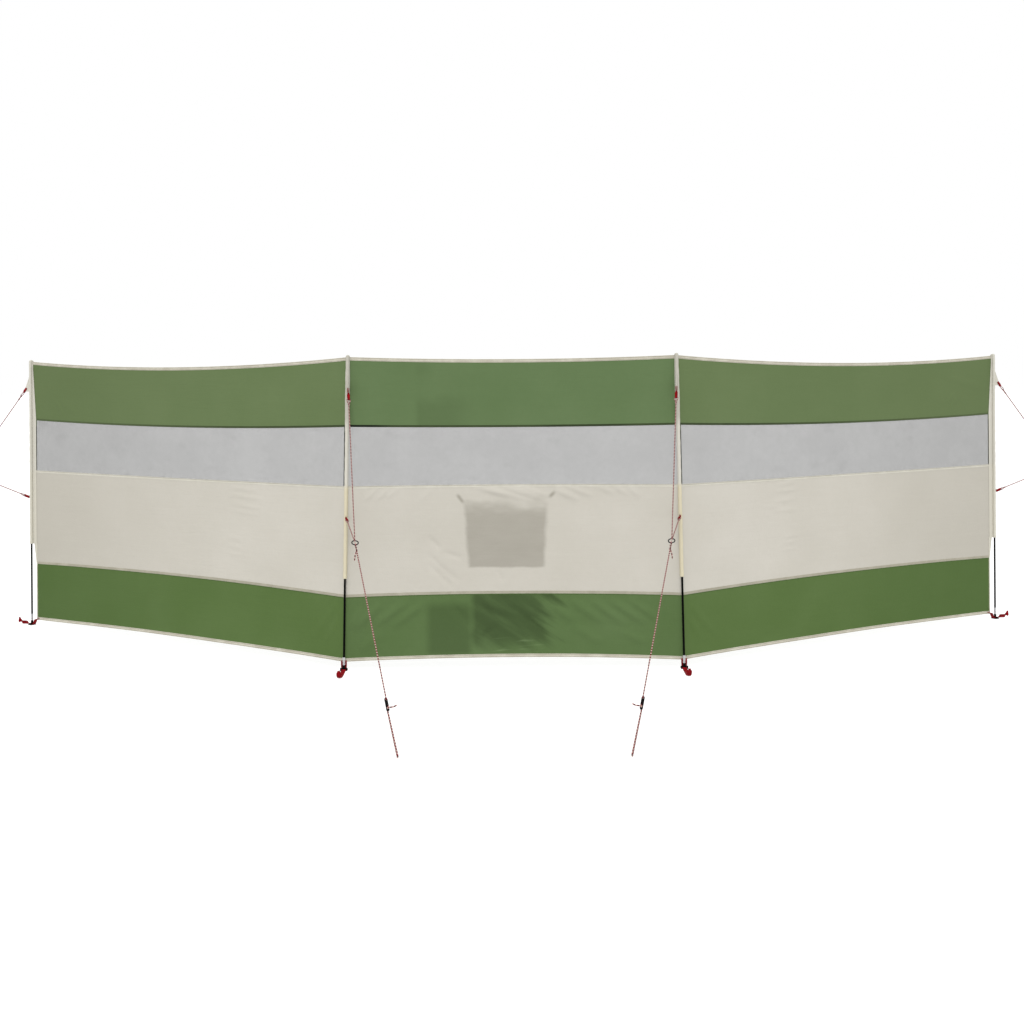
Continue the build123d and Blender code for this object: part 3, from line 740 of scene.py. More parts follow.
def newRope(points, resolution=10, share=1.0, taper=1.0):
    # round rope along a route, of that share of the rope's radius, with a tapered end
    path = splinePoints(points, resolution)
    way = unitRows(np.gradient(path, axis=0))
    side = np.zeros_like(path)
    side[0] = unit(np.cross(way[0], (0.31, 0.17, 0.93)))
    for k in range(1, len(path)):
        side[k] = unit(side[k - 1] - way[k] * (side[k - 1] @ way[k]))
    scale = np.ones((len(path), 2))
    scale[-1] = taper
    angle = math.tau * np.arange(rope["sides"]) / rope["sides"]
    outline = rope["radius"] * share * np.stack([np.cos(angle), np.sin(angle)], 1)
    return newSweep("ropePart", path, side, np.cross(way, side), outline, scale)


def newRibbon(points, widthWay, width, thick, resolution, widthAt=None):
    # flat webbing along a route; its width way and its width may change with the share of its length
    path = splinePoints(points, resolution)
    way = unitRows(np.gradient(path, axis=0))
    length = runLength(path)
    share = length / length[-1]
    side = widthWay(share) if callable(widthWay) else np.tile(widthWay, (len(path), 1))
    side = unitRows(side - way * np.sum(side * way, axis=1)[:, None])
    scale = np.ones((len(path), 2))
    if widthAt:
        scale[:, 0] = widthAt(share)
    return newSweep("ribbonPart", path, side, np.cross(way, side), roundedBand(width, thick), scale)


def joinAll(name, pieces):
    selectOnly(*pieces)
    if len(pieces) > 1:
        bpy.ops.object.join()
    joined = bpy.context.object
    joined.name = joined.data.name = name
    return joined


def finishPiece(piece, finish, slot, stands=(), angle=40):
    selectOnly(piece)
    bpy.ops.object.shade_smooth_by_angle(angle=math.radians(angle))
    piece.data.materials.clear()
    piece.data.materials.append(finishes[finish])
    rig.ride(piece, "root")
    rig.slot(piece, slot)
    if stands:
        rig.replaces(piece, *stands)
    return piece


# Layout of the bays, the same sizes as the solids, in metres
layout = {
    "poleHeight": 1.440,
    "sideBay": 2.130,
    "foldAngle": math.radians(30),
    "innerLean": 0.029,
    "clothMiddle": 0.00805,     # pole axis to the middle of the fabric
    "cloth": 0.001,
    "endGap": 0.033,
    "endGapTop": 0.008,
    "innerBottom": 0.036,
    "endBottom": 0.027,
    "hemWidth": 0.018,
    "hemTuck": 0.0035,          # how far the cloth reaches into the hem
    "gridStep": 0.008,
}
seamHeights = {"top": 1.432, "window": 1.118, "cream": 0.840, "lower": 0.333}
sideSags = {"top": 0.038, "window": 0.020, "cream": 0.003, "lower": -0.014, "bottom": -0.010}
middleSags = {"top": 0.014, "window": 0.006, "cream": -0.004, "lower": -0.012, "bottom": -0.016}

turn = layout["foldAngle"]
xWay, yWay, upWay = np.eye(3)
sideWay = np.array([-math.cos(turn), math.sin(turn), 0.0])
endFoot = sideWay * layout["sideBay"]
innerFoot = np.zeros(3)
innerAxis = unit([layout["innerLean"], -layout["innerLean"] * math.tan(turn), layout["poleHeight"]])
mitre = layout["clothMiddle"] * math.tan(turn / 2)
leanMiddle = layout["innerLean"] / layout["poleHeight"]
leanSide = leanMiddle / math.cos(turn)


def endEdge(h):
    climb = np.clip((h - seamHeights["window"]) / (seamHeights["top"] - seamHeights["window"]), 0, 1)
    return layout["endGap"] + (layout["endGapTop"] - layout["endGap"]) * climb


# Folds are lines on a bay in millimetres: place and height of both ends, width and depth
middleFolds = {
    "creamTop": [
        (160, 835, 100, 768, 9, 2.0), (212, 832, 150, 770, 9, 2.0), (258, 834, 200, 785, 9, 1.8),
        (410, 830, 345, 760, 12, 1.2), (600, 836, 760, 790, 11, 3.0), (655, 828, 850, 772, 11, 3.0),
        (720, 836, 930, 776, 11, 3.8), (800, 834, 950, 790, 10, 3.0), (965, 824, 1085, 768, 13, 3.4),
        (1020, 836, 1150, 786, 11, 2.6), (1160, 838, 1250, 795, 10, 2.2), (1235, 836, 1310, 790, 10, 2.2),
        (1300, 835, 1365, 780, 10, 2.2),
    ],
    "creamLow": [
        (385, 610, 450, 545, 12, -2.4), (385, 530, 475, 440, 12, -2.4), (385, 488, 505, 366, 13, -2.8),
        (452, 537, 552, 504, 11, -2.2), (440, 470, 540, 395, 13, -2.0), (700, 458, 735, 395, 13, -1.6),
    ],
    "lowerTop": [
        (90, 290, 0, 160, 18, 4.2), (180, 310, 40, 180, 19, 4.6), (300, 318, 140, 200, 18, 4.8),
        (380, 312, 215, 190, 18, 4.2), (480, 315, 585, 190, 18, -3.6), (560, 318, 760, 215, 18, -5.6),
        (640, 320, 720, 240, 16, 4.0), (745, 318, 880, 245, 18, 6.2), (800, 260, 940, 140, 19, -7.0),
        (770, 225, 890, 120, 18, 6.0), (700, 205, 620, 120, 16, -3.6), (620, 225, 560, 140, 15, 3.2),
        (930, 310, 1070, 205, 20, 4.8), (1040, 316, 1200, 200, 19, 5.2), (1130, 318, 1300, 190, 18, 5.4),
        (1210, 320, 1390, 200, 18, 5.2), (1300, 320, 1450, 215, 16, 4.4), (1040, 200, 1190, 110, 20, 3.2),
        (180, 170, 70, 90, 20, 3.0), (1240, 180, 1400, 110, 18, 2.8),
    ],
}
leftFolds = {
    "ripples": [
        (1405, 807, 1622, 793, 9, 1.3), (1405, 773, 1648, 755, 9, 1.4), (1420, 730, 1660, 708, 9, 1.3),
        (1430, 692, 1650, 679, 9, 0.9), (1405, 564, 1510, 556, 9, 1.0), (1405, 525, 1510, 513, 9, 1.0),
        (1410, 486, 1500, 479, 9, 0.9),
    ],
    "corner": [(2090, 300, 1940, 120, 18, 2.0), (2110, 260, 2020, 110, 14, 1.8)],
    "endPull": [
        (190, 1215, 245, 1145, 10, 1.3), (235, 1228, 290, 1150, 10, 1.3), (285, 1205, 335, 1150, 10, 1.1),
    ],
}
rightFolds = {
    "ripples": [
        (577, 802, 714, 819, 9, 1.3), (557, 774, 720, 780, 9, 1.3), (531, 723, 712, 732, 9, 1.3),
        (499, 701, 610, 704, 9, 1.0), (531, 680, 714, 683, 9, 1.1), (610, 550, 720, 556, 9, 1.0),
        (610, 521, 720, 526, 9, 1.0), (610, 487, 710, 492, 9, 0.9),
    ],
    "corner": [(30, 300, 200, 120, 16, 2.0), (20, 250, 120, 100, 14, 1.8)],
    "endPull": [
        (1720, 1330, 2080, 1250, 20, 1.2), (1775, 1175, 1830, 1235, 10, 1.3),
        (1805, 1162, 1862, 1222, 10, 1.2),
    ],
}
ripples = {
    "held": 0.05,               # the cloth is still at its edges, and free this far from them
    "slow": 0.0024,
    "quick": 0.0006,
    "foldGain": 1.8,
    "puckers": {"window": 0.0006, "cream": 0.0007, "lower": 0.0008},
    "puckerReach": 0.024,
}


class Bay:
    def __init__(self, name, origin, along, upward, edges, bottoms, sags, folds, billow, phase, poles):
        self.name = name
        self.origin = origin
        self.along = along
        self.upward = upward
        self.outward = np.cross(along, upward)
        self.edges = edges
        self.sags = sags
        self.folds = [np.array(fold) / 1000 for group in folds.values() for fold in group]
        self.billow = billow
        self.phase = phase
        self.poles = poles
        hem = layout["hemWidth"] - layout["hemTuck"]
        self.heights = {key: (h, h) for key, h in seamHeights.items()}
        self.heights["topHem"] = (seamHeights["top"] - hem,) * 2
        self.heights["bottom"] = bottoms
        self.heights["bottomHem"] = (bottoms[0] + hem, bottoms[1] + hem)

    def seam(self, key, t, drop=0.0):
        # place along the bay and height of a line under a seam, at that share of its length
        left, right = self.heights[key]
        start, end = self.edges[0](left), self.edges[1](right)
        sag = self.sags[key.replace("Hem", "")]
        return start + (end - start) * t, left + (right - left) * t - 4 * sag * t * (1 - t) - drop

    def lift(self, s, h):
        # how far the cloth stands out from its plane: billow, ripples, folds and puckered seams
        start, end = self.edges[0](h), self.edges[1](h)
        t = np.clip((s - start) / (end - start), 0, 1)
        hold = easeOver(np.minimum(s - start, end - s), 0, ripples["held"])
        rise = np.clip(h / seamHeights["top"], 0, 1)
        total = self.billow * 4 * t * (1 - t) * np.sin(math.pi * np.clip(rise * 0.94 + 0.03, 0, 1)) ** 0.8
        slow = np.sin(s * 5.1 + self.phase + h * 2.3) * np.sin(h * 6.7 + self.phase * 1.7 + s * 1.1)
        quick = np.sin(s * 13.7 + h * 9.1 + self.phase * 2.1) * np.sin(h * 17.3 - s * 4.9 + self.phase)
        total = total + hold * (ripples["slow"] * slow + ripples["quick"] * quick)
        for x0, h0, x1, h1, width, depth in self.folds:
            stepX, stepH = x1 - x0, h1 - h0
            size = math.hypot(stepX, stepH)
            place = ((s - x0) * stepX + (h - h0) * stepH) / size**2
            across = ((s - x0) * stepH - (h - h0) * stepX) / size
            taper = np.clip(4 * place * (1 - place), 0, 1)
            total = total + hold * ripples["foldGain"] * depth * taper * np.exp(-((across / width) ** 2))
        wave = np.sin(s * 155 + 3 * np.sin(s * 11 + self.phase) + self.phase)
        for key, pucker in ripples["puckers"].items():
            off = (h - self.seam(key, t)[1]) / ripples["puckerReach"]
            total = total + hold * pucker * wave * np.exp(-(off**2))
        return total

    def place(self, s, h, out=0.0):
        off = self.lift(s, h) - layout["clothMiddle"] + out
        return self.origin + np.outer(s, self.along) + np.outer(h, self.upward) + np.outer(off, self.outward)

    def band(self, name, upper, lower):
        # cloth between two seams, with its flat size and area
        t = np.linspace(0, 1, 200)
        (topS, topH), (lowS, lowH) = self.seam(upper, t), self.seam(lower, t)
        width = float(np.mean([topS[-1] - topS[0], lowS[-1] - lowS[0]]))
        height = float(np.max(topH - lowH))
        area = abs(float(np.trapz(topH, topS) - np.trapz(lowH, lowS)))

        def spot(across, rise):
            (topS, topH), (lowS, lowH) = self.seam(upper, across), self.seam(lower, across)
            return lowS + (topS - lowS) * rise, lowH + (topH - lowH) * rise

        columns, rows = round(width / layout["gridStep"]), round(height / layout["gridStep"])
        piece = newGrid(name, columns, rows, lambda across, rise: self.place(*spot(across, rise)), spot)
        thicken(piece, layout["cloth"])
        return piece, (width, height), area

    def strip(self, size, level, steps=150, out=0.0):
        # tape along the bay: level gives its place and height at a share of the length
        path = self.place(*level(np.linspace(0, 1, steps)), out)
        way = unitRows(np.gradient(path, axis=0))
        side = unitRows(np.cross(self.outward, way))
        return newSweep(
            "tapePart", path, side, np.cross(way, side), roundedBand(size["width"], size["thick"])
        )


leftBay = Bay(
    "Left", endFoot, -sideWay, upWay,
    edges=(endEdge, lambda h: layout["sideBay"] + leanSide * h - mitre),
    bottoms=(layout["endBottom"], layout["innerBottom"]),
    sags=sideSags, folds=leftFolds, billow=-0.010, phase=0.4,
    poles=["pole_left_end", "pole_left_inner"],
)
middleBay = Bay(
    "Middle", innerFoot, xWay, unit([0, innerAxis[1], innerAxis[2]]),
    edges=(lambda h: leanMiddle * h + mitre, lambda h: mirrorX - leanMiddle * h - mitre),
    bottoms=(layout["innerBottom"], layout["innerBottom"]),
    sags=middleSags, folds=middleFolds, billow=-0.008, phase=2.2,
    poles=["pole_left_inner", "pole_right_inner"],
)
rightBay = Bay(
    "Right", mirrorX * xWay, np.array([math.cos(turn), math.sin(turn), 0.0]), upWay,
    edges=(lambda h: mitre - leanSide * h, lambda h: layout["sideBay"] - endEdge(h)),
    bottoms=(layout["innerBottom"], layout["endBottom"]),
    sags=sideSags, folds=rightFolds, billow=-0.010, phase=4.1,
    poles=["pole_right_inner", "pole_right_end"],
)
bays = (leftBay, middleBay, rightBay)

# Bands of a bay, with their seams, node names, slots and finishes in the side bays and the middle one
bandParts = {
    "topBand": ("topHem", "window", "top_band", "green_cloth", ("greenClothUpper", "greenClothMiddle")),
    "windowBand": ("window", "cream", "window", "window_film", ("clearFilm", "clearFilm")),
    "creamBand": ("cream", "lower", "cream_band", "cream_cloth", ("creamCloth", "creamClothPocket")),
    "lowerBand": ("lower", "bottomHem", "lower_band", "green_cloth", ("greenClothLower", "greenClothSlack")),
}
seamParts = {
    "greenSeam": ("window", "green_cloth"),
    "filmSeam": ("cream", "cream_cloth"),
    "greyTape": ("lower", "hem_tape"),
}
# Thin lines: a painted shadow line under the lower seam, one up each side of a side window, one down a free edge
trims = {
    "darkLine": {"width": 0.0035, "thick": 0.0022, "drop": 0.0025},
    "windowEdge": {
        "width": 0.0035, "thick": 0.0022, "inset": 0.002, "endAside": 0.0034, "innerAside": 0.0155,
        "out": 0.0006,
    },
    "edgeBinding": {"width": 0.006, "thick": 0.0026, "top": 0.330, "aside": 0.002},
}
trimSteps = 40


def seamStrip(bay, size, key, drop):
    return bay.strip(size, lambda t: bay.seam(key, t, drop))


def windowEdge(bay, side):
    size = trims["windowEdge"]
    atEnd = (bay is leftBay) == (side == 0)
    aside = size["endAside" if atEnd else "innerAside"] * (1 - 2 * side)
    low, high = seamHeights["cream"] + size["inset"], seamHeights["window"] - size["inset"]

    def level(t):
        h = low + (high - low) * t
        return bay.edges[side](h) + aside, h

    return bay.strip(size, level, trimSteps, size["out"])


def edgeBinding(bay):
    size = trims["edgeBinding"]

    def level(t):
        h = size["top"] + (layout["endBottom"] - size["top"]) * t
        s = endEdge(h) + size["aside"]
        return (layout["sideBay"] - s if bay is rightBay else s), h

    return bay.strip(size, level, trimSteps)


for bay in bays:
    low = bay.name.lower()
    isMiddle = bay is middleBay
    halfHem = layout["hemWidth"] / 2
    hemDrops = {"top": halfHem, "bottom": -halfHem}
    hems = [seamStrip(bay, tapes["hemTape"], key, drop) for key, drop in hemDrops.items()]
    if not isMiddle:
        hems.append(edgeBinding(bay))
    hem = joinAll("hemTapes" + bay.name, hems)
    extras = [finishPiece(hem, "hemTape", "hem_tape", (f"hem_tapes_{low}",))]
    for stem, (key, slot) in seamParts.items():
        strips = [seamStrip(bay, tapes[stem], key, tapes[stem]["drop"])]
        if stem == "greenSeam":
            # painted shadow line under the lower seam
            strips.append(seamStrip(bay, trims["darkLine"], "lower", trims["darkLine"]["drop"]))
            if not isMiddle:
                strips += [windowEdge(bay, side) for side in (0, 1)]
        extras.append(finishPiece(joinAll(stem + bay.name, strips), stem, slot))
    for stem, (upper, lower, node, slot, bandFinishes) in bandParts.items():
        piece, flat, area = bay.band(stem + bay.name, upper, lower)
        finishPiece(piece, bandFinishes[isMiddle], slot, (f"{node}_{low}",), angle=60)
        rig.sheet(
            piece,
            flat=flat,
            held="stretched",
            rests_on=bay.poles,
            area=min(area, flat[0] * flat[1]),
            with_pieces=extras if stem == "creamBand" else [],
        )
print("bays made,", len(bays))


def mirrored(piece, name):
    selectOnly(piece)
    bpy.ops.object.duplicate()
    twin = bpy.context.object
    twin.name = twin.data.name = name
    for vertex in twin.data.vertices:
        vertex.co.x = mirrorX - vertex.co.x
    bpy.ops.object.mode_set(mode="EDIT")
    bpy.ops.mesh.select_all(action="SELECT")
    bpy.ops.mesh.flip_normals()
    bpy.ops.object.mode_set(mode="OBJECT")
    return twin


def finishPair(parts, stem, place, finish, slot, node, angle=40):
    # the parts joined for the left half, and their mirrored twin for the right one
    piece = joinAll(f"{stem}Left{place}", parts)
    made = piece, mirrored(piece, f"{stem}Right{place}")
    for part, side in zip(made, ("left", "right")):
        finishPiece(part, finish, slot, (f"{node}_{side}_{place.lower()}",), angle)
    return made


# Guy lines: each lies in the plane of its pole's axis and its peg
guySizes = {
    "gussetTop": 1.355,
    "gussetBottom": 1.269,
    "gussetReach": 0.033,
    "gussetNose": 0.012,
    "lowerLoopHeight": 0.697,
    "lowerTabReach": 0.020,
    "upperLoop": (0.058, 0.016),    # length, and how much of it laps over the cloth
    "lowerLoop": (0.034, 0.010),
    "loopThick": 0.0015,
    "eyeLength": 0.024,
    "eyeInset": 0.0052,
    "ringRadius": 0.014,
    "wireBend": 0.0058,
    "bridleSet": 0.0080,        # the bridle's corner over the ring's wire
    "bridleNear": 0.024,
    "ringKnot": 0.020,
    "knotPitch": 0.020,
    "knotTail": 0.042,
    "runnerShare": 0.78,
    "runnerPitch": 0.022,
    "faceStep": 0.0059,         # runner's middle to a strand that lies on its face
    "strandStep": 0.0053,
    "endKnot": 0.0088,
    "runnerTail": 0.034,
    "tailTaper": 0.7,
    "bight": 0.0055,
}
knotSizes = {"lobe": 0.00105, "stretch": 1.3, "depth": 0.0021, "rope": 0.92, "steps": 24}


class Guy:
    def __init__(self, foot, axis, peg, ringOut, ringHeight):
        self.foot = foot
        self.axis = axis
        self.out = unit(peg - axis * (peg @ axis))
        self.across = np.cross(self.out, axis)
        self.ring = np.array([ringOut, ringHeight])
        self.peg = np.array([peg @ self.out, peg @ axis])
        self.line = unit(self.peg - self.ring)
        self.upperWire = self.ring - self.line * guySizes["ringRadius"]
        self.lowerWire = self.ring + self.line * guySizes["ringRadius"]
        nose = guySizes["gussetBottom"] + guySizes["gussetNose"] / 2
        self.upperTip = np.array([guySizes["gussetReach"], nose])
        self.lowerTip = np.array([guySizes["lowerTabReach"], guySizes["lowerLoopHeight"]])
        self.upperWay = unit(self.upperWire - self.upperTip)
        self.lowerWay = unit(self.upperWire - self.lowerTip)

    def spot(self, point):
        return self.foot + self.out * point[0] + self.axis * point[1]

    def way(self, direction):
        return self.out * direction[0] + self.axis * direction[1]


def leftOf(direction):
    return np.array([-direction[1], direction[0]])


def outAndBack(half, turnBack=()):
    # a route of places along and aside that comes back on the other side
    return [*half, *turnBack, *((along, -aside) for along, aside in reversed(half))]


def webbingLoop(guy, tip, way, size, twist):
    # folded over the cloth, the loop turns by twist on the way to its bight, where it gathers
    length, lap = size
    reach = length - lap - 0.002
    route = outAndBack([
        (-lap, 0.0030), (-lap * 0.4, 0.0030), (0.004, 0.0030), (reach * 0.45, 0.0030),
        (reach - 0.008, 0.0040), (reach - 0.001, 0.0044),
    ], [(reach + 0.0020, 0.0)])
    first, second = guy.across, guy.way(leftOf(way))

    def angleAt(along):
        return twist * easeOver(along, -0.002, reach * 0.55)

    def turned(along):
        angle = angleAt(along)
        return first * math.cos(angle) - second * math.sin(angle)

    def widthWay(share):
        angle = angleAt((1 - abs(2 * share - 1)) * (reach + lap) - lap)
        return np.outer(np.cos(angle), second) + np.outer(np.sin(angle), first)

    def widthAt(share):
        return 1 - 0.35 * np.clip(1 - abs(2 * share - 1) - 0.62, 0, 0.38) / 0.38

    points = [guy.spot(tip + way * along) + turned(along) * aside for along, aside in route]
    return newRibbon(points, widthWay, webbings["redLoop"], guySizes["loopThick"], 6, widthAt)


def ropeKnot(guy, middle, way):
    # overhand knot: the rope crosses itself three times
    size = knotSizes
    axis = guy.way(way)
    first, second = guy.across, guy.way(leftOf(way))
    points = []
    for k in range(size["steps"] + 1):
        a = math.tau * k / size["steps"]
        x = (math.sin(a) + 2 * math.sin(2 * a)) * size["lobe"]
        y = (math.cos(a) - 2 * math.cos(2 * a)) * size["lobe"] * size["stretch"]
        z = -math.sin(3 * a) * size["depth"]
        points.append(guy.spot(middle) + first * x + axis * y + second * z)
    return newRope(points, 4, size["rope"])


def ropeEye(guy, tip, way, size, twist):
    length, lap = size
    bight = tip + way * (length - lap - guySizes["eyeInset"])
    sideways = guy.way(leftOf(way)) * math.cos(twist) + guy.across * math.sin(twist)
    half = [(guySizes["eyeLength"], 0.0), (0.018, 0.0030), (0.010, 0.0070), (0.001, 0.0080)]
    route = outAndBack(half, [(-0.0006, 0.0)])
    points = [guy.spot(bight + way * along) + sideways * aside for along, aside in route]
    knot = bight + way * guySizes["eyeLength"]
    return [newRope(points, 6), ropeKnot(guy, knot, way)], knot


def guyPieces(guy, place, twists):
    size = guySizes
    line, left = guy.line, leftOf(guy.line)
    upper = guy.upperTip, guy.upperWay, size["upperLoop"], twists[0]
    lower = guy.lowerTip, guy.lowerWay, size["lowerLoop"], twists[1]
    loops = [webbingLoop(guy, *upper), webbingLoop(guy, *lower)]
    finishPair(loops, "guyLoops", place, "redLoop", "red_webbing", "guy_loops")

    def ropeThrough(route, resolution=10):
        return newRope([guy.spot(point) for point in route], resolution)

    def tailFrom(knot, steps):
        # loose end: steps across the plane and up
        points = [guy.spot(knot) + guy.across * across + upWay * up for across, up in [(0, 0), *steps]]
        return newRope(points, 6, taper=size["tailTaper"])

    parts, upperKnot = ropeEye(guy, *upper)
    more, lowerKnot = ropeEye(guy, *lower)
    parts += more
    toUpper, toLower = -guy.upperWay, -guy.lowerWay
    corner = guy.upperWire - unit(toUpper + toLower) * size["bridleSet"]
    parts.append(ropeThrough([
        upperKnot, corner + toUpper * size["bridleNear"], corner + toUpper * 0.003,
        corner + toLower * 0.003, corner + toLower * size["bridleNear"], lowerKnot,
    ]))

    # bight round the ring, closed by two knots, with a short tail
    firstKnot = guy.lowerWire + line * size["ringKnot"]
    secondKnot = firstKnot + line * size["knotPitch"]
    bend = size["wireBend"]
    ringBight = outAndBack([(0, 0), (-0.010, 0.0030), (-0.018, bend + 0.0006), (-0.0258, bend + 0.0004)])
    parts.append(ropeThrough([firstKnot + line * along + left * aside for along, aside in ringBight], 6))
    parts += [ropeKnot(guy, firstKnot, line), ropeKnot(guy, secondKnot, line)]
    parts.append(tailFrom(secondKnot, [(0.003, -0.010), (0.0075, -0.022), (0.009, -size["knotTail"])]))

    # over the runner, through its top hole, round the peg and back up through the bottom hole
    face = left * size["faceStep"]
    runner = guy.ring + line * np.linalg.norm(guy.peg - guy.ring) * size["runnerShare"] - face
    topHole = runner - line * size["runnerPitch"]
    bottomHole = runner + line * size["runnerPitch"]
    topOver, topUnder, bottomUnder = topHole + face, topHole - face, bottomHole - face
    endKnot = bottomHole + left * size["endKnot"]
    bight = left * size["bight"]
    end = guy.peg - line * ((size["bight"] + rope["radius"]) / abs(line[1]) - size["bight"])
    under = bottomUnder - left * size["strandStep"]
    downWay = unit(under - topUnder)
    pegWay = unit(end - bight - under)
    backWay = unit(bottomUnder - (end + bight))
    parts.append(ropeThrough([
        firstKnot, firstKnot + line * 0.03, topOver - line * 0.03, topOver - line * 0.005, topOver,
        topUnder, topUnder + downWay * 0.006, under - downWay * 0.012, under, under + pegWay * 0.012,
        end - bight - pegWay * 0.020, end - bight * 1.07 - line * 0.004, end - bight * 0.7 + line * 0.0012,
        end + bight * 0.7 + line * 0.0012, end + bight * 1.07 - line * 0.004, end + bight + backWay * 0.020,
        bottomUnder - backWay * 0.03, bottomUnder - backWay * 0.006, bottomUnder, bottomHole, endKnot,
    ]))
    parts.append(ropeKnot(guy, endKnot, left))
    parts.append(tailFrom(endKnot, [(-0.012, -0.001), (-0.024, 0.001), (-size["runnerTail"], 0.006)]))
    finishPair(parts, "guyLine", place, "guyRope", "guy_rope", "guy_line", 50)


# Where each guy's peg and ring are, from its pole's foot, and how far its two loops twist
guyPlaces = {
    "innerPeg": np.array([0.368, -1.282, 0.0]),
    "innerRing": (0.288, 0.627),
    "innerTwists": (math.radians(82), math.radians(75)),
    "endPegTurn": math.radians(10),
    "endPegOut": 1.288,
    "endRing": (0.384, 0.818),
    "endTwists": (math.radians(74), math.radians(74)),
}
pegTurn = guyPlaces["endPegTurn"]
endPeg = np.array([-math.cos(pegTurn), math.sin(pegTurn), 0.0]) * guyPlaces["endPegOut"]
innerGuy = Guy(innerFoot, innerAxis, guyPlaces["innerPeg"], *guyPlaces["innerRing"])
endGuy = Guy(endFoot, upWay, endPeg, *guyPlaces["endRing"])
guyPieces(innerGuy, "Inner", guyPlaces["innerTwists"])
guyPieces(endGuy, "End", guyPlaces["endTwists"])
print("guy lines made")

# Sleeves: a tunnel of cloth round the pole with a flange sewn on each bay, closed at the top
sleeveSizes = {
    "tunnelRadius": 0.0071,
    "innerBottom": 0.420,
    "endBottom": 0.441,
    "cloth": 0.0010,
    "flange": 0.0088,
    "flangeBack": (0.0063, 0.0056),
    "slack": 0.20,              # how much wider an inner sleeve is over the top band
    "slackStart": (1.09, 1.17),
    "slackEnd": (1.31, 1.425),
    "slackLoss": 0.75,
    "hemHeight": 0.014,
    "hemSwell": 0.0007,
    "hemRows": (0.0, 0.004, 0.012, 0.016),
    "bodyRows": 150,
    "bodyStart": 0.024,
    "bodyEnd": 1.428,
    "capRows": (1.4325, 1.435, 1.437, 1.4385, 1.4394, 1.4398),
    "capHeight": 0.0075,
    "stripStart": 0.0095,       # the end sleeve's strip, from the tunnel to the cloth's edge
    "stripFront": 0.0063,
    "stripBack": 0.0096,
    "toe": 0.326,
    "toeWidth": 0.022,
    "toeCloth": 0.0012,
    "toeBehind": 0.0068,
    "toeFlat": (0.02, 0.115),
    "flapRoot": 0.0062,
    "flapCloth": 0.0026,
    "flapBulge": 0.0006,
    "tabHalf": 0.007,
}


def sleeveRing(h, span, bottom, extra=0.0):
    # the tunnel's outline at that height, a little loose and swollen at its hem
    arc = np.radians(np.linspace(*span, 21))
    wave = 0.00035 * np.sin(h * 71 + 2.2 * np.sin(h * 13) + arc * 1.3) + 0.0002 * np.sin(h * 190 + arc * 2.1)
    radius = sleeveSizes["tunnelRadius"] + extra + wave
    if h < bottom + sleeveSizes["hemHeight"]:
        radius = radius + sleeveSizes["hemSwell"]
    return np.stack([radius * np.cos(arc), radius * np.sin(arc)], 1)


def capShrink(h):
    over = np.clip((h - sleeveSizes["capRows"][0]) / sleeveSizes["capHeight"], 0, 1)
    return np.sqrt(np.clip(1 - over**2.2, 0, 1))


def innerSection(h):
    size = sleeveSizes
    loss = size["slackLoss"] * easeOver(h, *size["slackEnd"])
    slack = 1 + size["slack"] * easeOver(h, *size["slackStart"]) * (1 - loss)
    ring = sleeveRing(h, (35, -245), size["innerBottom"]) * (slack, 1)
    outer, root = size["flangeBack"]
    right = [(size["flange"] * slack, outer), (size["flange"] * slack * 0.94, root)]
    along, behind = np.array([-math.cos(turn), math.sin(turn)]), np.array([math.sin(turn), math.cos(turn)])
    left = [along * p + behind * q for p, q in reversed(right)]
    return np.vstack([right, ring, left])[::-1] * capShrink(h)


def endSection(h):
    size = sleeveSizes
    ring = sleeveRing(h, (40, -235), size["endBottom"], 0.0002)
    start = size["stripStart"]
    reach = max(float(endEdge(h)) + 0.0015, 0.0125) - start
    front = [(start + reach * k, size["stripFront"]) for k in (1.0, 0.66, 0.33, 0.08)]
    back = [(start + reach * k, size["stripBack"]) for k in (0.0, 0.33, 0.66, 1.0)]
    return np.vstack([front, ring, [(0.001, 0.0092)], back])[::-1] * capShrink(h)


def newSleeve(foot, axis, xSide, bottom, sectionAt):
    # rows of cloth, close together at the hem and the cap
    size = sleeveSizes
    body = np.linspace(bottom + size["bodyStart"], size["bodyEnd"], size["bodyRows"])
    heights = np.concatenate([bottom + np.array(size["hemRows"]), body, size["capRows"]])
    table = np.array([sectionAt(h) for h in heights])
    length = runLength(table[len(heights) // 2])
    ySide = np.cross(axis, xSide)
    places = foot + table[..., :1] * xSide + table[..., 1:] * ySide + heights[:, None, None] * axis
    piece = newTable("sleevePart", places, length, heights)
    weld(piece, False)
    thicken(piece, size["cloth"])
    return piece, (float(length[-1]), float(heights[-1] - heights[0]))


def newFlap(guy, outer, topIn, topOut, bottom, rows):
    inner = sleeveSizes["flapRoot"]

    def placeAt(across, rise):
        out = inner + (outer - inner) * across
        up = bottom + (topIn + (topOut - topIn) * across - bottom) * rise
        bulge = sleeveSizes["flapBulge"] * np.sin(rise * math.pi) * np.sin(across * math.pi)
        return guy.foot + np.outer(out, guy.out) + np.outer(up, guy.axis) + np.outer(bulge, guy.across)

    def uvAt(across, rise):
        return across * (outer - inner), rise * (topIn - bottom)

    piece = newGrid("flapPart", 6, rows, placeAt, uvAt)
    thicken(piece, sleeveSizes["flapCloth"])
    return piece


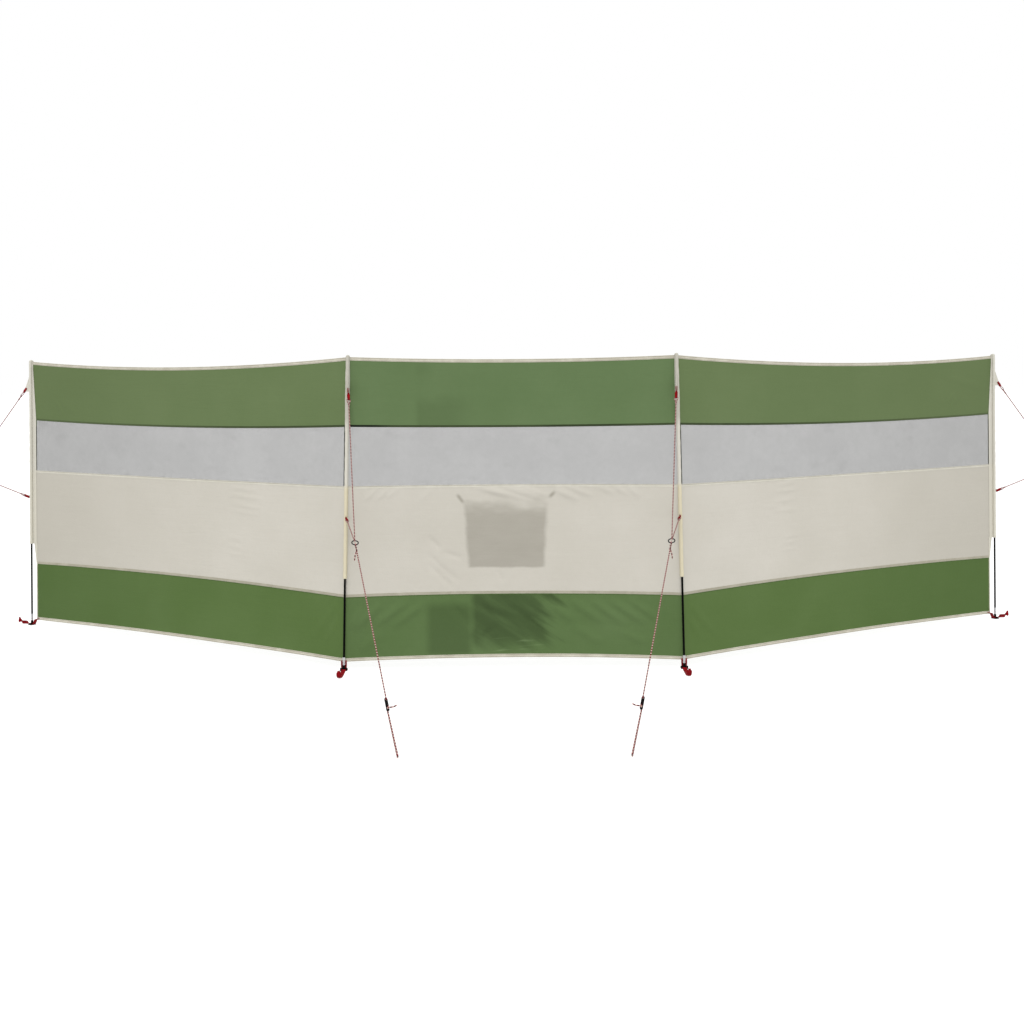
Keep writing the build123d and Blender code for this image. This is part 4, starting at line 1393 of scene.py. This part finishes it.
def finishSleeves(sleeve, flat, extras, guy, place):
    # with a folded triangle under the upper loop and a small tab under the lower one
    size, half = guySizes, sleeveSizes["tabHalf"]
    low, tab = size["gussetBottom"], size["lowerLoopHeight"]
    gusset = newFlap(guy, size["gussetReach"], size["gussetTop"], low + size["gussetNose"], low, 14)
    lowerTab = newFlap(guy, size["lowerTabReach"], tab + half, tab + half, tab - half, 4)
    parts = [sleeve, *extras, gusset, lowerTab]
    made = finishPair(parts, "sleeve", place, "sleeveCloth", "sleeve_cloth", "sleeve")
    for piece, side in zip(made, ("left", "right")):
        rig.sheet(piece, flat=flat, held="stretched", rests_on=[f"pole_{side}_{place.lower()}"])


def toePlace(across, rise):
    # point of cloth from the end sleeve's foot down the free edge
    size = sleeveSizes
    h = size["toe"] + (size["endBottom"] + 0.004 - size["toe"]) * rise
    inner = layout["endGap"] + 0.006
    outer = layout["endGap"] + (size["toeWidth"] - 0.008 - layout["endGap"]) * rise
    s = outer + (inner - outer) * across
    return endFoot - np.outer(s, sideWay) + np.outer(h, upWay) + size["toeBehind"] * np.cross(upWay, -sideWay)


innerSide = unit(xWay - innerAxis * innerAxis[0])
innerSleeve = newSleeve(innerFoot, innerAxis, innerSide, sleeveSizes["innerBottom"], innerSection)
finishSleeves(*innerSleeve, [], innerGuy, "Inner")
endSleeve = newSleeve(endFoot, upWay, -sideWay, sleeveSizes["endBottom"], endSection)
toeWide, toeTall = sleeveSizes["toeFlat"]
toe = newGrid("toePart", 4, 14, toePlace, lambda across, rise: (across * toeWide, rise * toeTall))
thicken(toe, sleeveSizes["toeCloth"])
finishSleeves(*endSleeve, [toe], endGuy, "End")
print("sleeves made")

# Foot straps: red webbing from the hem through the slot of the foot, with a turned-up tail
strapSizes = {
    "tailWidth": 0.021,
    "thick": 0.0015,
    "slot": 0.00405,
    "ground": 0.0011,
    "innerReach": 0.158,
    "endReach": 0.068,
    "rise": 0.037,
    "tilt": math.radians(62),   # an end tail turns its face to the front
    "tiltLift": 0.0100,
    "tipTurn": math.radians(38),
    "legTop": 0.044,
    "legWidth": 0.0076,
    "legAside": 0.0093,
}
endOut = np.cross(-sideWay, upWay)


def strapRibbon(foot, pWay, aside, route, width, widthWay=None, widthAt=None):
    # route: places along pWay, up and aside
    points = [foot + pWay * p + upWay * z + aside * w for p, z, w in route]
    return newRibbon(points, widthWay or aside, width, strapSizes["thick"], 8, widthAt)


def innerTailWidth(share):
    # the tail is drawn in where it turns up, and again at its tip
    pinch = 0.62 * np.exp(-(((share - 0.79) / 0.055) ** 2))
    return np.clip(1 - pinch - 0.55 * easeOver(share, 0.93, 1.0), 0.2, 1)


def endTailWidth(share):
    return 1 - 0.65 * easeOver(share, 0.84, 1.0)


def endWidthWay(share):
    stand, tip = easeOver(share, 0.50, 0.62), easeOver(share, 0.78, 0.88)
    tilt, tipTurn = strapSizes["tilt"] * stand, strapSizes["tipTurn"] * tip
    out = np.outer(np.cos(tilt) * (1 - tip) + np.cos(tipTurn) * tip, endOut)
    return out + np.outer(np.sin(tilt) * (1 - tip), upWay) + np.outer(np.sin(tipTurn), sideWay)


slot, ground, tip = strapSizes["slot"], strapSizes["ground"], strapSizes["ground"] + strapSizes["rise"]
reach = strapSizes["innerReach"]
straps = [strapRibbon(innerFoot, yWay, xWay, [
    (0.0052, slot, 0), (0, slot, 0), (-0.010, slot, 0), (-0.0166, slot, 0), (-0.022, 0.0022, 0),
    (-0.028, ground, 0), (-0.07, ground, 0.001), (-0.12, ground + 0.0006, 0.0015),
    (-reach + 0.012, ground, 0.001), (-reach - 0.001, ground + 0.004, 0),
    (-reach - 0.004, ground + 0.018, 0), (-reach - 0.0055, tip, 0),
], strapSizes["tailWidth"], widthAt=innerTailWidth)]
for aside in (-strapSizes["legAside"], strapSizes["legAside"]):
    straps.append(strapRibbon(innerFoot, yWay, xWay, [
        (0.0060, strapSizes["legTop"], aside), (0.0061, 0.036, aside), (0.0061, 0.026, aside * 1.03),
        (0.0060, 0.014, aside * 0.96), (0.0058, 0.0075, aside * 0.95),
        (0.0050, slot + 0.0006, aside * 0.95), (0.001, slot, aside * 0.95),
    ], strapSizes["legWidth"]))
finishPair(straps, "footStrap", "Inner", "redStrap", "red_webbing", "foot_strap")

reach, lifted = strapSizes["endReach"], ground + strapSizes["tiltLift"]
endStrap = strapRibbon(endFoot, -sideWay, endOut, [
    (0.0540, 0.0360, 0), (0.0420, 0.0350, 0), (0.0315, 0.0325, 0), (0.0240, 0.0170, 0),
    (0.0170, 0.0062, 0), (0.0130, slot, 0), (0, slot, 0), (-0.0166, slot, 0), (-0.022, 0.0060, 0.001),
    (-0.030, lifted, 0.004), (-0.046, lifted, 0.010), (-reach + 0.010, lifted, 0.016),
    (-reach - 0.001, lifted + 0.004, 0.020), (-reach - 0.004, lifted + 0.014, 0.0215),
    (-reach - 0.0065, tip, 0.022),
], strapSizes["tailWidth"], endWidthWay, endTailWidth)
finishPair([endStrap], "footStrap", "End", "redStrap", "red_webbing", "foot_strap")
print("foot straps made")

# Storage pocket behind the middle bay: sewn at its sides and bottom, slack at the mouth
pocketSizes = {
    "middle": 0.745,
    "bottom": 0.465,
    "height": 0.281,
    "lowHalf": 0.170,
    "highHalf": 0.1875,
    "gape": 0.021,
    "rest": 0.0016,
    "ruck": 0.0012,
    "behind": 0.001,
    "cloth": 0.001,
    "grid": (48, 36),
}


def pocketSpot(across, rise):
    half = pocketSizes["lowHalf"] + (pocketSizes["highHalf"] - pocketSizes["lowHalf"]) * rise
    s = pocketSizes["middle"] + half * (2 * across - 1)
    return s, pocketSizes["bottom"] + pocketSizes["height"] * rise


def pocketPlace(across, rise):
    s, h = pocketSpot(across, rise)
    swell = np.sin(math.pi * np.clip(across, 0, 1)) ** 0.55
    slack = pocketSizes["rest"] + pocketSizes["gape"] * rise**1.2 * swell
    ruck = pocketSizes["ruck"] * np.sin(s * 31 + h * 9) * np.sin(h * 23 + s * 5) * swell * rise
    return middleBay.place(s, h, -(slack + ruck) - pocketSizes["behind"])


pocketCloth = newGrid("storagePocket", *pocketSizes["grid"], pocketPlace, pocketSpot)
thicken(pocketCloth, pocketSizes["cloth"])
finishPiece(pocketCloth, "pocketCloth", "pocket_cloth", ("storage_pocket",), 60)
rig.sheet(
    pocketCloth,
    flat=(2 * pocketSizes["highHalf"], pocketSizes["height"]),
    held="hung",
    rests_on=["creamBandMiddle"],
    area=(pocketSizes["lowHalf"] + pocketSizes["highHalf"]) * pocketSizes["height"],
)
print("pocket made")

# Rigid nodes keep their shapes and get their finishes
rigidFinishes = {
    "pole_tip": "tipMetal",
    "pole_foot": "footPlastic",
    "pole": "blackRod",
    "guy_ring": "ringSteel",
    "guy_runner": "runnerPlastic",
}
for name, node in nodes.items():
    stem = next((key for key in rigidFinishes if name.startswith(key)), None)
    if stem:
        node.data.materials.clear()
        node.data.materials.append(finishes[rigidFinishes[stem]])
print("rigid nodes finished")

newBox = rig.bounds()
with open("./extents.json", "w") as out:
    json.dump({"cad": [list(c) for c in cadBox], "visual": [list(c) for c in newBox]}, out)
